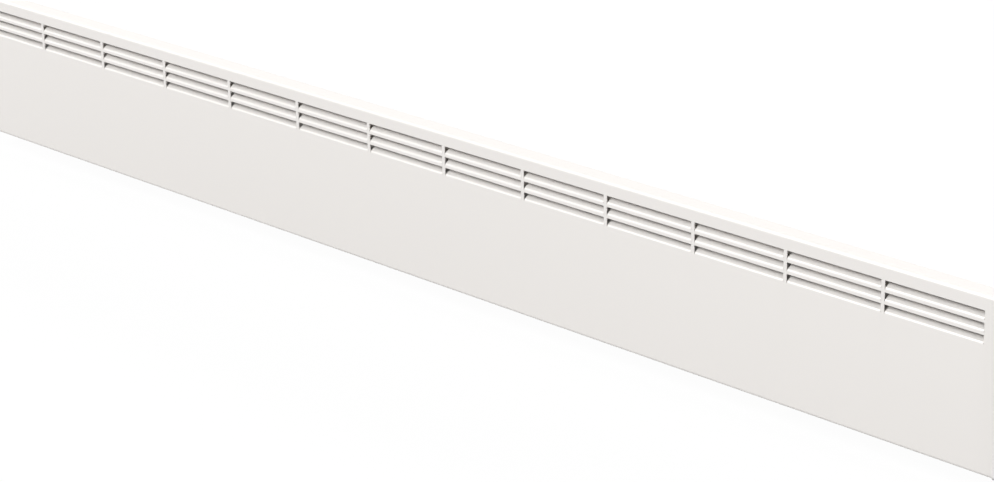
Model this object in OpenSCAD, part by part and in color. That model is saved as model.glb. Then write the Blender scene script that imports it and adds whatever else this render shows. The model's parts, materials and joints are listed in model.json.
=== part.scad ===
// Electric plinth heater: a long low convector on two wall brackets.
// X runs along the heater, Y into the wall, Z up. The origin is the centre of the wall fixings,
// on the face that touches the wall.

/* [Casing] */
// Height of the casing
case_h = 200; // [165:1:245]
// Height of the wall fixings' centre above the casing's bottom
fixing_h = 82; // [70:1:92]
// Depth of the casing, front face to back wall
case_d = 56; // [50:1:70]
// Depth of the flat top behind the front face
top_d = 24; // [20:1:29]
// Height of the step behind the flat top
top_step = 14; // [12:1:18]
// Height of the sloping roof, from the step to the back wall
roof_drop = 26; // [14:1:32]
// Depth of the front cover's bottom return
return_d = 18; // [15:1:22]
// Thickness of the casing sheets
sheet_t = 1; // [0.8:0.1:1.2]
// Radius of the soft bend along the top front edge
top_bend_r = 4; // [2.5:0.5:6]
// Radius of all the other bends
bend_r = 2.2; // [1.8:0.1:2.6]

/* [Louvres] */
// Groups of louvres along the front
louvre_groups = 13; // [10:1:15]
// Distance from one group to the next
group_pitch = 130; // [105:1:160]
// Width of the plain divider between two groups
divider_w = 4.5; // [4:0.5:12]
// Plain margin outside the end groups
end_margin = 18.25; // [16:0.25:30]
// Rows of louvres in a group
louvre_rows = 3; // [1:1:4]
// Distance from one row to the next
row_pitch = 13.5; // [11.5:0.1:16.5]
// Height of one louvre window
window_h = 10.3; // [8:0.1:11]
// Distance from the flat top down to the first window
first_window = 16.9; // [12:0.1:22]
// Angle of a louvre blade above the horizontal
blade_angle = 30; // [0:1:40]
// Bend radius of a louvre blade, outside
blade_bend_r = 2; // [1.5:0.1:3]
// Width of the cut round a louvre blade
blade_cut = 0.6; // [0.4:0.1:1]

/* [Air inlet] */
// Width of an inlet slot
inlet_w = 10; // [6:0.5:11]
// Plain strip between inlet slots, end to end
inlet_bridge = 22; // [18:1:34]

/* [End caps] */
// Length of the part of a cap outside the casing
cap_t = 14; // [12:0.5:18]
// How far a cap stands proud of the casing
cap_proud = 1.4; // [0.4:0.1:2]
// Length of the spigot inside the casing
spigot_l = 12; // [10:1:15]
// Wall thickness of a cap
cap_wall = 2; // [1.6:0.1:2.6]
// Rounding of a cap's outer edge
cap_edge_r = 3; // [2:0.5:4]

/* [Element] */
// Height of the element's centre above the casing's bottom
element_h = 55; // [48:1:62]
// Distance of the element's centre behind the front face
element_in = 28; // [25:1:30]
// Length of one wing of the aluminium profile
wing_l = 22; // [18:1:23]
// Thickness of a wing
wing_t = 1.6; // [1.2:0.1:2.2]
// Radius of the profile's core
core_r = 6.5; // [5.5:0.1:8]
// Radius of the sheathed heating rod
rod_r = 4; // [3:0.1:4.5]

/* [Controls] */
// Length of the control room at the right end
control_l = 91; // [85:1:110]
// Radius of the thermostat knob
knob_r = 16; // [13:0.5:18]
// Radius of the thermostat's spindle
spindle_r = 3; // [2.5:0.1:3.5]
// Depth of the pocket that the controls sit in
pocket_depth = 7; // [5:0.5:8]

/* [Wall brackets] */
// Distance between the two wall brackets
bracket_pitch = 1100; // [880:1:1320]
// Distance between the two holes of a bracket
bracket_hole_pitch = 80; // [66:1:96]
// Radius of a hole for a wall screw
wall_hole_r = 2.75; // [2:0.05:3.5]
// Gap between the casing and the wall
wall_gap = 22; // [20:1:28]
// Thickness of the bracket sheet
bracket_t = 2; // [1.5:0.1:2.5]
// Radius of a hanger pin
pin_r = 3; // [2.5:0.1:3.5]

/* [Supply] */
// Radius of the bore for the supply cable
cable_r = 4.5; // [3.5:0.1:5.5]

/* [Clearances] */
// Radial clearance of a turning fit
running_gap = 0.05; // [0.02:0.01:0.1]
// Clearance between parts that are put together once
fit_gap = 0.2; // [0.1:0.05:0.4]
// Clearance between parts that pass each other
free_gap = 0.4; // [0.3:0.05:0.8]

/* [Hidden] */

$fn = 64;
bend_steps = 8;
tiny = 0.01;
through = 1;

// Colours
powder_white = "#efebe8";
steel = "#b9bcbf";
bright_metal = "#d5d7d9";
ceramic = "#e8e0cf";
dark_plastic = "#3a3b3d";
white_plastic = "#f2efeb";
red_lens = "#c2402e";
brass = "#c9a24a";
black_rubber = "#2b2b2b";
brown_wire = "#6b4026";
glass_sleeve = "#dcd8cb";
green_wire = "#6f9a34";

// Main planes of the casing
panel_l = louvre_groups * group_pitch - divider_w + 2 * end_margin;
half_l = panel_l / 2;
back_y = -wall_gap;
front_y = back_y - case_d;
base_z = -fixing_h;
top_z = base_z + case_h;
mid_z = (base_z + top_z) / 2;
top_back_y = front_y + top_d;
window_w = group_pitch - divider_w;

// Mid-lines of the two casing sheets
half_t = sheet_t / 2;
cover_top_z = top_z - half_t;
cover_front_y = front_y + half_t;
cover_back_y = top_back_y - half_t;
step_z = top_z - top_step;
lip_y = cover_back_y - sheet_t;
lip_h = 10;
roof_top_z = step_z - 3;
back_mid_y = back_y - half_t;
back_top_z = roof_top_z - roof_drop + 3;
floor_z = base_z + sheet_t + half_t;
floor_top_z = floor_z + half_t;
floor_front_y = front_y + return_d - 6;
back_in_y = back_y - sheet_t;
roof_slope = (roof_top_z - back_top_z) / (back_mid_y - lip_y);
roof_rise = sqrt(1 + roof_slope * roof_slope);
bead_w = 12;
bead_h = 2.2;

// Screws
screw_r = 1.75;
screw_l = 8;
head_r = 3.6;
head_h = 2.3;
seam_count = 8;
seam_inset = 30;
seam_z = step_z + 5;
seam_y = (floor_front_y + front_y + return_d) / 2;
cap_screw_z = [base_z + 22, back_top_z - 16];

// Element
element_y = front_y + element_in;
element_z = base_z + element_h;
bulkhead_x = half_l - control_l;
bulkhead_t = 1.2;
bracket_end_x = -half_l + 56;
profile_x = [bracket_end_x + 20, bulkhead_x - 25];
rod_x = [bracket_end_x - 18, bulkhead_x + 16];
terminal_r = 1.5;
terminal_l = 12;
bush_r = 7;
bush_flange_r = 10;
bush_l = 12;
support_group = [4, 9];
foot_l = 14;
foot_y = [front_y + return_d + 5, element_y + 14];
inlet_y = [element_y + 1, back_in_y - bend_r - 1 - inlet_w / 2];
rib_l = 2.2;
support_half_w = (wing_l + wing_t / 2 + rib_l + 2 * free_gap) * cos(45) + 2.2;

// Reflector
reflector_t = 0.8;
reflector_stand = 5;
reflector_lip = 9;
reflector_z = [floor_top_z + 8, min(back_top_z - 22, element_z + 83)];
reflector_x = [bracket_end_x + 6, bulkhead_x - 6];

// Controls on the right cap
cap_x = half_l + cap_t;
pocket_x = cap_x - pocket_depth;
pocket_floor_t = 3;
plate_x = pocket_x - pocket_floor_t;
control_y = (front_y + back_y) / 2;
pocket_w = 42;
pocket_h = 122;
knob_z = mid_z + 30;
switch_z = mid_z - 14;
lamp_z = mid_z - 46;
knob_bottom_x = pocket_x + 2.4;
knob_h = 13;
thermostat_w = 34;
thermostat_d = 22;
thermostat_x = plate_x - thermostat_d;
collar_r = 6;
spindle_back_x = plate_x - 8;
spindle_l = knob_bottom_x + knob_h - 3 - spindle_back_x;
thermostat_screw_z = 11;
switch_w = 12.6;
switch_h = 19;
switch_d = 20;
rocker_r = 8.6;
rocker_w = 10.4;
rocker_angle = 8;
rocker_x = pocket_x + 1;
rocker_pin_r = 1.2;
lamp_r = 4;

// Brackets and hangers
hinge_y = -wall_gap + 10;
hinge_z = base_z + 30;
bracket_w = 44;
bracket_flange = 8;
nose_r = 6.5;
bracket_low_z = hinge_z - 14;
bracket_top_z = back_top_z - 4;
shelf_lip = 22;
shelf_front_y = back_y + 1.5;
clip_z = bracket_top_z - 10;
clip_w = 14;
clip_t = 0.8;
clip_tongue = 9;
clip_hole_h = 11;
buffer_w = 8;
hanger_w = 84;
hanger_h = 32;
hanger_t = 1.5;
ear_x = bracket_w / 2 + 4;
ear_r = 6;
pin_l = 2 * ear_x + 2 * hanger_t + 5;

// Supply
gland_x = half_l - 26;
gland_z = base_z + 26;
gland_flange_r = cable_r + 4.5;
block_x = bulkhead_x + 30;
block_l = 33;
block_d = 14;
block_h = 18;
block_z = base_z + 70;
earth_x = half_l - 24;
earth_z = block_z + block_h + 4;
lead_r = 1.25;

// Points and normals of a bent path
function heading(a, b) = (b - a) / norm(b - a);
function left_of(u) = [-u.y, u.x];
function bend_angle(u, v) = atan2(u.x * v.y - u.y * v.x, u * v);
function spin(v, a) = [v.x * cos(a) - v.y * sin(a), v.x * sin(a) + v.y * cos(a)];

// Arc that rounds the corner p between a and b with radius r
function rounded_corner(a, p, b, r) =
    let (
        u = heading(a, p),
        v = heading(p, b),
        turn = bend_angle(u, v),
        side = sign(turn),
        setback = r * tan(abs(turn) / 2),
        centre = p - setback * u + side * r * left_of(u)
    )
    r < tiny || abs(turn) < 1
        ? [p]
        : [for (k = [0:bend_steps]) centre + spin(-side * r * left_of(u), turn * k / bend_steps)];

// Closed outline with a radius at each corner
function rounded_outline(points, radii) =
    let (n = len(points))
    [for (i = [0:n - 1])
        each rounded_corner(points[(i + n - 1) % n], points[i], points[(i + 1) % n], radii[i])];

// A path moved sideways by d, to its left, with the radii that keep the sheet's thickness
function moved_point(path, i, d) =
    let (
        last = len(path) - 1,
        u = i == 0 ? heading(path[0], path[1]) : heading(path[i - 1], path[i]),
        v = i == last ? u : heading(path[i], path[i + 1])
    )
    path[i] + d * (left_of(u) + left_of(v)) / (1 + u * v);
function moved_path(path, d) = [for (i = [0:len(path) - 1]) moved_point(path, i, d)];
function moved_radius(path, i, r, d) =
    r - sign(bend_angle(heading(path[i - 1], path[i]), heading(path[i], path[i + 1]))) * d;
function rounded_path(path, radii, d) =
    let (points = moved_path(path, d), last = len(path) - 1)
    [for (i = [0:last])
        each (i == 0 || i == last
            ? [points[i]]
            : rounded_corner(points[i - 1], points[i], points[i + 1],
                moved_radius(path, i, radii[i], d)))];
function reversed(list) = [for (i = [len(list) - 1:-1:0]) list[i]];

// Section of a folded sheet from the mid-line path and the mid-line radius of each bend:
// a strip along each straight run and a sector of a ring at each bend
function turn_at(path, i) =
    bend_angle(heading(path[i - 1], path[i]), heading(path[i], path[i + 1]));
function setback(path, radii, i) =
    i == 0 || i == len(path) - 1 ? 0 : radii[i] * tan(abs(turn_at(path, i)) / 2);
module strip(a, b, t) {
    side = t / 2 * left_of(heading(a, b));
    polygon([a - side, b - side, b + side, a + side]);
}
module sheet_bend(a, p, b, r, t) {
    u = heading(a, p);
    v = heading(p, b);
    turn = bend_angle(u, v);
    side = sign(turn);
    centre = p - r * tan(abs(turn) / 2) * u + side * r * left_of(u);
    reach = -side * (r + t) / cos(turn / 2);
    intersection() {
        translate(centre)
            difference() {
                circle(r + t / 2);
                circle(r - t / 2);
            }
        polygon([centre, centre + reach * left_of(u), centre + reach * spin(left_of(u), turn / 2),
            centre + reach * left_of(v)]);
    }
}
module sheet_section(path, radii, t) {
    last = len(path) - 1;
    for (i = [0:last - 1])
        let (u = heading(path[i], path[i + 1]))
        strip(path[i] + setback(path, radii, i) * u, path[i + 1] - setback(path, radii, i + 1) * u, t);
    for (i = [1:last - 1])
        sheet_bend(path[i - 1], path[i], path[i + 1], radii[i], t);
}

// The same section drawn as one outline, for a small sheet that grows out of another
module sheet_outline(path, radii, t) {
    polygon(concat(rounded_path(path, radii, t / 2), reversed(rounded_path(path, radii, -t / 2))));
}

// A section drawn in Y and Z, extruded along X
module along_x(x0, x1) {
    translate([x0, 0, 0])
        rotate([90, 0, 90])
            linear_extrude(x1 - x0)
                children();
}

// A box between two corners
module block(a, b) {
    translate(a)
        cube(b - a);
}

// Cylinders along the three axes
module rod_x(p, r, l) {
    translate(p)
        rotate([0, 90, 0])
            cylinder(h = l, r = r);
}
module rod_y(p, r, l) {
    translate(p)
        rotate([-90, 0, 0])
            cylinder(h = l, r = r);
}
module rod_z(p, r, l) {
    translate(p)
        cylinder(h = l, r = r);
}

// Slot with round ends in the XY plane
module round_slot(x0, x1, y, w) {
    translate([x0 + w / 2, y - w / 2])
        square([x1 - x0 - w, w]);
    for (x = [x0 + w / 2, x1 - w / 2])
        translate([x, y])
            circle(w / 2);
}

// Tube swept along points, with its corners rounded into short arcs
function corner3(a, p, b, r) =
    let (u = (a - p) / norm(a - p), v = (b - p) / norm(b - p))
    [for (k = [0:4])
        let (s = k / 4)
        p + r * (1 - s) * (1 - s) * u + r * s * s * v];
function rounded_route(points, r) =
    let (last = len(points) - 1)
    concat([points[0]],
        [for (i = [1:last - 1]) each corner3(points[i - 1], points[i], points[i + 1], r)],
        [points[last]]);
function tangent(p, i) =
    let (a = p[max(i - 1, 0)], b = p[min(i + 1, len(p) - 1)])
    (b - a) / norm(b - a);
// Carries the first ring's direction along the route without twist
function carried(p, i, side) =
    let (t = tangent(p, i), s = side - (side * t) * t)
    s / norm(s);
function frames(p, i, side) =
    i == len(p) ? [] : let (s = carried(p, i, side)) concat([s], frames(p, i + 1, s));
module lead(points, r, side, corner_r = 5, sides = 8) {
    route = rounded_route(points, corner_r);
    sides_of = frames(route, 0, side);
    last = len(route) - 1;
    rings = [for (i = [0:last])
        let (t = tangent(route, i), s = sides_of[i], w = cross(t, s))
        each [for (k = [0:sides - 1])
            route[i] + r * (cos(360 * k / sides) * s + sin(360 * k / sides) * w)]];
    walls = [for (i = [0:last - 1], k = [0:sides - 1])
        let (a = i * sides + k, b = i * sides + (k + 1) % sides)
        each [[a, a + sides, b], [b, a + sides, b + sides]]];
    start_face = [for (k = [0:sides - 1]) k];
    end_face = [for (k = [sides - 1:-1:0]) last * sides + k];
    polyhedron(rings, concat([start_face], walls, [end_face]), convexity = 6);
}

// Height of the roof's mid-line at y, raised by out at right angles to the roof
function roof_at(y, out) = back_top_z + roof_slope * (back_mid_y - y) + out * roof_rise;

// Outline of the casing's end, grown by g; lap leaves room for the second sheet of a seam
function casing_outline(g, lap = 0) = [
    [front_y - g, base_z - g + lap],
    [back_y + g, base_z - g + lap],
    [back_y + g, roof_at(back_y + g, g + half_t)],
    [top_back_y + g - lap, roof_at(top_back_y + g - lap, g + half_t)],
    [top_back_y + g - lap, top_z + g],
    [front_y - g, top_z + g]];
function casing_radii(g) = [
    max(bend_r + g, 0.5), max(bend_r + g, 0.5), max(bend_r + g, 0.5),
    max(bend_r - g, 0.5), max(bend_r + g, 0.5), max(top_bend_r + g, 0.5)];
function casing_shape(g, lap = 0) = rounded_outline(casing_outline(g, lap), casing_radii(g));

// Places
function group_x(i) = -half_l + end_margin + i * group_pitch;
function divider_x(i) = group_x(i) - divider_w / 2;
function row_z(k) = top_z - first_window - window_h - k * row_pitch;
function seam_x(i) = -half_l + seam_inset + i * (panel_l - 2 * seam_inset) / (seam_count - 1);

// Pan-head screw that points along +Z, its head's underside at the origin
module pan_screw(l = screw_l, r = screw_r) {
    translate([0, 0, -head_h])
        difference() {
            intersection() {
                cylinder(h = head_h, r = head_r);
                translate([0, 0, 5.2])
                    sphere(5.6);
            }
            for (a = [0, 90])
                rotate(a)
                    translate([-2.2, -0.45, -through])
                        cube([4.4, 0.9, through + 1.2]);
        }
    cylinder(h = l - 1.5, r = r);
    translate([0, 0, l - 1.5])
        cylinder(h = 1.5, r1 = r, r2 = 0.5);
}

// ---- Casing ----

module blade() {
    mid_r = blade_bend_r - half_t;
    angle = 90 - blade_angle;
    straight = window_h - blade_cut - mid_r * angle * PI / 180;
    corner = [cover_front_y, mid_r * tan(angle / 2)];
    tip = corner + (straight + mid_r * tan(angle / 2)) * [sin(angle), cos(angle)];
    sheet_outline([[cover_front_y, -1], corner, tip], [0, mid_r, 0], sheet_t);
}

module front_cover() {
    mid_top_r = top_bend_r - half_t;
    mid_r = bend_r - half_t;
    path = [[cover_back_y, step_z], [cover_back_y, cover_top_z], [cover_front_y, cover_top_z],
        [cover_front_y, base_z + half_t], [front_y + return_d, base_z + half_t]];
    color(powder_white) {
        difference() {
            along_x(-half_l, half_l)
                sheet_section(path, [0, mid_r, mid_top_r, mid_r, 0], sheet_t);
            for (i = [0:louvre_groups - 1], k = [0:louvre_rows - 1])
                block([group_x(i), front_y - through, row_z(k)],
                    [group_x(i) + window_w, front_y + sheet_t + through, row_z(k) + window_h]);
            for (i = [0:seam_count - 1]) {
                rod_y([seam_x(i), top_back_y - 1.5 * sheet_t, seam_z], screw_r + running_gap,
                    2 * sheet_t);
                rod_z([seam_x(i), seam_y, base_z - half_t], screw_r + running_gap, 2 * sheet_t);
            }
        }
        for (i = [0:louvre_groups - 1], k = [0:louvre_rows - 1])
            translate([0, 0, row_z(k)])
                along_x(group_x(i) + blade_cut, group_x(i) + window_w - blade_cut)
                    blade();
    }
}

// Stiffening beads pressed outwards in the back wall, between the hangers and the clips
function bead_z() =
    let (low = hinge_z + hanger_h / 2 + 8, high = bracket_top_z - shelf_lip - 8)
    [low + (high - low) / 4, high - (high - low) / 4];
function bead_ends() =
    let (
        near = bracket_pitch / 2 - hanger_w / 2 - bead_w,
        far = bracket_pitch / 2 + hanger_w / 2 + bead_w
    )
    [[bead_w - bulkhead_x, -far], [-near, -bead_w], [bead_w, near], [far, bulkhead_x - bead_w]];
module beads(grow, y0, y1) {
    for (e = bead_ends(), z = bead_z())
        translate([0, y1, 0])
            rotate([90, 0, 0])
                linear_extrude(y1 - y0)
                    round_slot(e[0] - grow, e[1] + grow, z, bead_w + 2 * grow);
}

module rear_casing() {
    mid_r = bend_r - half_t;
    path = [[floor_front_y, floor_z], [back_mid_y, floor_z], [back_mid_y, back_top_z],
        [lip_y, roof_top_z], [lip_y, step_z + lip_h]];
    inlet_l = group_pitch - inlet_bridge;
    color(powder_white)
        difference() {
            union() {
                along_x(-half_l, half_l)
                    sheet_section(path, [0, mid_r, mid_r, mid_r, 0], sheet_t);
                beads(sheet_t, back_mid_y, back_y + bead_h);
            }
            beads(0, back_in_y - through, back_y + bead_h - sheet_t);
            // Air inlet slots, between the supports
            translate([0, 0, floor_z - 2 * sheet_t])
                linear_extrude(4 * sheet_t)
                    for (i = [1:louvre_groups - 2], y = inlet_y)
                        round_slot(divider_x(i) + inlet_bridge / 2,
                            divider_x(i) + inlet_bridge / 2 + inlet_l, y, inlet_w);
            // Vents under the sensing bulb
            translate([0, 0, floor_z - 2 * sheet_t])
                linear_extrude(4 * sheet_t)
                    round_slot(bulkhead_x + 30, bulkhead_x + 66, inlet_y[0], inlet_w - 2);
            // Holes for the bracket clips
            for (s = [-1, 1])
                block([s * bracket_pitch / 2 - clip_w / 2 - 2, back_in_y - through,
                        clip_z - clip_hole_h / 2],
                    [s * bracket_pitch / 2 + clip_w / 2 + 2, back_y + through,
                        clip_z + clip_hole_h / 2]);
            // Screw and rivet holes
            for (i = [0:seam_count - 1]) {
                rod_y([seam_x(i), lip_y - sheet_t, seam_z], screw_r + running_gap, 2 * sheet_t);
                rod_z([seam_x(i), seam_y, floor_z - sheet_t], screw_r + running_gap, 2 * sheet_t);
            }
            for (s = [-1, 1], z = cap_screw_z)
                rod_y([s * (half_l - spigot_l / 2), back_in_y - half_t, z],
                    screw_r + running_gap, 2 * sheet_t);
            for (p = hanger_rivet_places())
                rod_y([p.x, back_in_y - half_t, p.y], 2 + running_gap, 2 * sheet_t);
            for (p = reflector_rivet_places())
                rod_y([p.x, back_in_y - half_t, p.y], 1.6 + running_gap, 2 * sheet_t);
            for (p = support_screw_places())
                rod_z([p.x, p.y, floor_z - sheet_t], screw_r + running_gap, 2 * sheet_t);
            // Supply cable and earth stud
            rod_y([gland_x, back_in_y - half_t, gland_z], cable_r + 2, 2 * sheet_t);
            rod_y([earth_x, back_in_y - half_t, earth_z], 2 + running_gap, 2 * sheet_t);
        }
}

// Outer skin of a cap: the casing's outline from the casing's end outwards, its edge rounded
module cap_skin() {
    steps = 6;
    growths = concat([cap_proud],
        [for (k = [0:steps]) cap_proud - cap_edge_r * (1 - cos(90 * k / steps))]);
    heights = concat([0],
        [for (k = [0:steps]) cap_t - cap_edge_r + cap_edge_r * sin(90 * k / steps)]);
    outlines = [for (g = growths) casing_shape(g)];
    n = len(outlines[0]);
    rings = len(growths);
    points = [for (j = [0:rings - 1], p = outlines[j]) [heights[j], p.x, p.y]];
    walls = [for (j = [0:rings - 2], k = [0:n - 1])
        let (a = j * n + k, b = j * n + (k + 1) % n)
        each [[a, b, a + n], [b, b + n, a + n]]];
    inner_face = [for (k = [0:n - 1]) n - 1 - k];
    outer_face = [for (k = [0:n - 1]) (rings - 1) * n + k];
    polyhedron(points, reversed_faces(concat([inner_face], walls, [outer_face])), convexity = 8);
}
function reversed_faces(faces) = [for (f = faces) reversed(f)];

// A hollow cap with its spigot, for the right end; x = 0 is the end of the casing
module cap_shell() {
    spigot_g = -sheet_t - fit_gap;
    boss_d = 8;
    boss_w = 8;
    difference() {
        union() {
            cap_skin();
            along_x(-spigot_l, 2)
                polygon(casing_shape(spigot_g, sheet_t));
        }
        difference() {
            along_x(-spigot_l - through, cap_t - cap_wall - 1)
                polygon(casing_shape(spigot_g - cap_wall, sheet_t));
            // Bosses for the screws
            for (z = cap_screw_z)
                block([-spigot_l - 2 * through, back_in_y - boss_d, z - boss_w / 2],
                    [cap_t, back_y, z + boss_w / 2]);
        }
        for (z = cap_screw_z)
            rod_y([-spigot_l / 2, back_in_y - 12, z], screw_r + running_gap, 14);
    }
}

module end_cap_left() {
    color(white_plastic)
        mirror([1, 0, 0])
            translate([half_l, 0, 0])
                cap_shell();
}

module pocket_shape(grow) {
    w = pocket_w + 2 * grow;
    h = pocket_h + 2 * grow;
    corners = [[-w, -h] / 2, [w, -h] / 2, [w, h] / 2, [-w, h] / 2];
    translate([control_y, mid_z])
        polygon(rounded_outline(corners, [for (i = [0:3]) 8 + grow]));
}

module end_cap_right() {
    color(white_plastic)
        difference() {
            union() {
                translate([half_l, 0, 0])
                    cap_shell();
                along_x(plate_x, cap_x - 1)
                    pocket_shape(cap_wall);
            }
            along_x(pocket_x, cap_x + through)
                pocket_shape(0);
            rod_x([plate_x - through, control_y, knob_z], collar_r + running_gap,
                pocket_floor_t + 2 * through);
            for (s = [-1, 1])
                rod_x([plate_x - through, control_y, knob_z + s * thermostat_screw_z],
                    1.5 + running_gap, pocket_floor_t + 2 * through);
            block([plate_x - through, control_y - switch_w / 2 - fit_gap,
                    switch_z - switch_h / 2 - fit_gap],
                [pocket_x + through, control_y + switch_w / 2 + fit_gap,
                    switch_z + switch_h / 2 + fit_gap]);
            rod_x([plate_x - through, control_y, lamp_z], lamp_r + running_gap,
                pocket_floor_t + 2 * through);
        }
}

module casing_screws() {
    color(steel) {
        for (i = [0:seam_count - 1]) {
            translate([seam_x(i), top_back_y, seam_z])
                rotate([90, 0, 0])
                    pan_screw();
            translate([seam_x(i), seam_y, base_z])
                pan_screw();
        }
        for (s = [-1, 1], z = cap_screw_z)
            translate([s * (half_l - spigot_l / 2), back_y, z])
                rotate([90, 0, 0])
                    pan_screw();
    }
}

// ---- Wall brackets and hangers ----

// One bracket, centred on x = 0: a channel with hooks below and a shelf above
module wall_bracket() {
    arm_x = bracket_w / 2 - bracket_t;
    color(steel)
        difference() {
            union() {
                // Back plate and shelf in one strip of sheet
                along_x(-bracket_w / 2, bracket_w / 2)
                    sheet_section(
                        [[-bracket_t / 2, bracket_low_z], [-bracket_t / 2, bracket_top_z],
                            [shelf_front_y + bracket_t / 2, bracket_top_z],
                            [shelf_front_y + bracket_t / 2, bracket_top_z - shelf_lip]],
                        [0, bracket_t, bracket_t, 0], bracket_t);
                for (x = [-bracket_w / 2, arm_x])
                    along_x(x, x + bracket_t)
                        difference() {
                            union() {
                                translate([-bracket_flange, bracket_low_z])
                                    square([bracket_flange - bracket_t / 2,
                                        bracket_top_z - bracket_t - bracket_low_z]);
                                translate([hinge_y, hinge_z - nose_r])
                                    square([-hinge_y - bracket_t / 2, 2 * nose_r]);
                                translate([hinge_y, hinge_z])
                                    circle(nose_r);
                            }
                            translate([hinge_y, hinge_z])
                                circle(pin_r + running_gap);
                            translate([hinge_y - pin_r - running_gap, hinge_z])
                                square([2 * (pin_r + running_gap), nose_r + 1]);
                        }
            }
            for (s = [-1, 1])
                rod_y([0, -bracket_t - through, s * bracket_hole_pitch / 2], wall_hole_r,
                    bracket_t + 2 * through);
        }
}

module wall_bracket_left() {
    translate([-bracket_pitch / 2, 0, 0])
        wall_bracket();
}

module wall_bracket_right() {
    translate([bracket_pitch / 2, 0, 0])
        wall_bracket();
}

// Spring strip on the shelf's front, its tongue reaching through the back wall
module bracket_clips() {
    foot_y = shelf_front_y - clip_t / 2;
    path = [[foot_y, clip_z + 7], [foot_y, clip_z - 2], [back_in_y - 2, clip_z - 2.5],
        [back_in_y - 5, clip_z + 1.5], [back_in_y - clip_tongue, clip_z - 2.5]];
    color(bright_metal)
        for (s = [-1, 1])
            along_x(s * bracket_pitch / 2 - clip_w / 2, s * bracket_pitch / 2 + clip_w / 2)
                sheet_section(path, [0, 0.9, 1, 1, 0], clip_t);
}

module bracket_buffers() {
    gap = 0.2;
    color(black_rubber)
        for (s = [-1, 1], e = [-1, 1])
            translate([s * bracket_pitch / 2 + e * (bracket_w / 2 - buffer_w / 2 - 1), 0, clip_z + 2])
                rod_y([0, back_y + gap, 0], buffer_w / 2, shelf_front_y - back_y - gap);
}

function hanger_rivet_places() = [for (s = [-1, 1], e = [-1, 1], v = [-1, 1])
    [s * bracket_pitch / 2 + e * (hanger_w / 2 - 6), hinge_z + v * (hanger_h / 2 - 6)]];

// Plate with two ears, centred on x = 0
module hanger() {
    color(steel)
        difference() {
            union() {
                block([-hanger_w / 2, back_y, hinge_z - hanger_h / 2],
                    [hanger_w / 2, back_y + hanger_t, hinge_z + hanger_h / 2]);
                for (x = [-ear_x - hanger_t, ear_x])
                    along_x(x, x + hanger_t) {
                        translate([hinge_y, hinge_z])
                            circle(ear_r);
                        translate([back_y + hanger_t / 2, hinge_z - ear_r])
                            square([hinge_y - back_y - hanger_t / 2, 2 * ear_r]);
                    }
            }
            rod_x([-hanger_w / 2, hinge_y, hinge_z], pin_r, hanger_w);
            for (e = [-1, 1], v = [-1, 1])
                rod_y([e * (hanger_w / 2 - 6), back_y - through, hinge_z + v * (hanger_h / 2 - 6)],
                    2 + running_gap, hanger_t + 2 * through);
        }
}

module hanger_left() {
    translate([-bracket_pitch / 2, 0, 0])
        hanger();
}

module hanger_right() {
    translate([bracket_pitch / 2, 0, 0])
        hanger();
}

module hanger_pins() {
    color(bright_metal)
        for (s = [-1, 1])
            rod_x([s * bracket_pitch / 2 - pin_l / 2, hinge_y, hinge_z], pin_r, pin_l);
}

// Rivet through sheets from y0 (inside) to y1 (outside)
module rivet(x, z, r, y0, y1) {
    head = 1.2;
    rod_y([x, y0, z], r, y1 - y0);
    rod_y([x, y0 - head, z], 1.8 * r, head);
    rod_y([x, y1, z], 1.8 * r, head);
}

module hanger_rivets() {
    color(bright_metal)
        for (p = hanger_rivet_places())
            rivet(p.x, p.y, 2, back_in_y, back_y + hanger_t);
}

// ---- Heating element ----

// Wings with cross ribs round a core
module element_section() {
    ribs = 4;
    rib_t = 1;
    for (a = [45:90:315])
        rotate(a) {
            translate([0, -wing_t / 2])
                square([wing_l, wing_t]);
            for (k = [1:ribs])
                translate([core_r + (wing_l - core_r) * k / ribs - rib_t, -wing_t / 2 - rib_l])
                    square([rib_t, wing_t + 2 * rib_l]);
        }
    circle(core_r);
}

// Cross-shaped hole that the profile slides through
module element_hole() {
    half_w = wing_t / 2 + rib_l + free_gap;
    for (a = [45:90:315])
        rotate(a)
            translate([0, -half_w])
                square([wing_l + free_gap, 2 * half_w]);
    circle(core_r + free_gap);
}

module element_profile() {
    color(bright_metal)
        translate([0, element_y, element_z])
            along_x(profile_x[0], profile_x[1])
                difference() {
                    element_section();
                    circle(rod_r + running_gap);
                }
}

module element_rod() {
    color(steel) {
        rod_x([rod_x[0], element_y, element_z], rod_r, rod_x[1] - rod_x[0]);
        rod_x([rod_x[0] - terminal_l, element_y, element_z], terminal_r, terminal_l + tiny);
        rod_x([rod_x[1] - tiny, element_y, element_z], terminal_r, terminal_l + tiny);
    }
}

// Ceramic bush with one flange, from x along +X
module bush(x) {
    difference() {
        union() {
            rod_x([x - bush_l / 2, element_y, element_z], bush_r, bush_l);
            rod_x([x - 3, element_y, element_z], bush_flange_r, 3);
        }
        rod_x([x - bush_l, element_y, element_z], rod_r + 2 * running_gap, 2 * bush_l);
    }
}

module element_bushes() {
    color(ceramic) {
        bush(bracket_end_x);
        bush(bulkhead_x);
    }
}

module plate_foot(x, y0, y1) {
    block([x, y0, floor_top_z], [x + foot_l, y1, floor_top_z + bulkhead_t]);
}

function support_x() = concat([bracket_end_x],
    [for (i = support_group) divider_x(min(i, louvre_groups - 3)) - foot_l / 2], [bulkhead_x]);
function support_screw_places() = [for (x = support_x(), y = foot_y) [x + foot_l / 2 + 1, y]];

// Upright plate on a foot, standing on the casing's floor
module support_plate(x) {
    w = support_half_w;
    block([x, element_y - w, floor_top_z], [x + bulkhead_t, element_y + w, element_z + w]);
    plate_foot(x, element_y - w, element_y + w);
}

module foot_holes(x) {
    for (y = foot_y)
        rod_z([x + foot_l / 2 + 1, y, floor_top_z - through], screw_r + running_gap,
            bulkhead_t + 2 * through);
}

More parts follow.
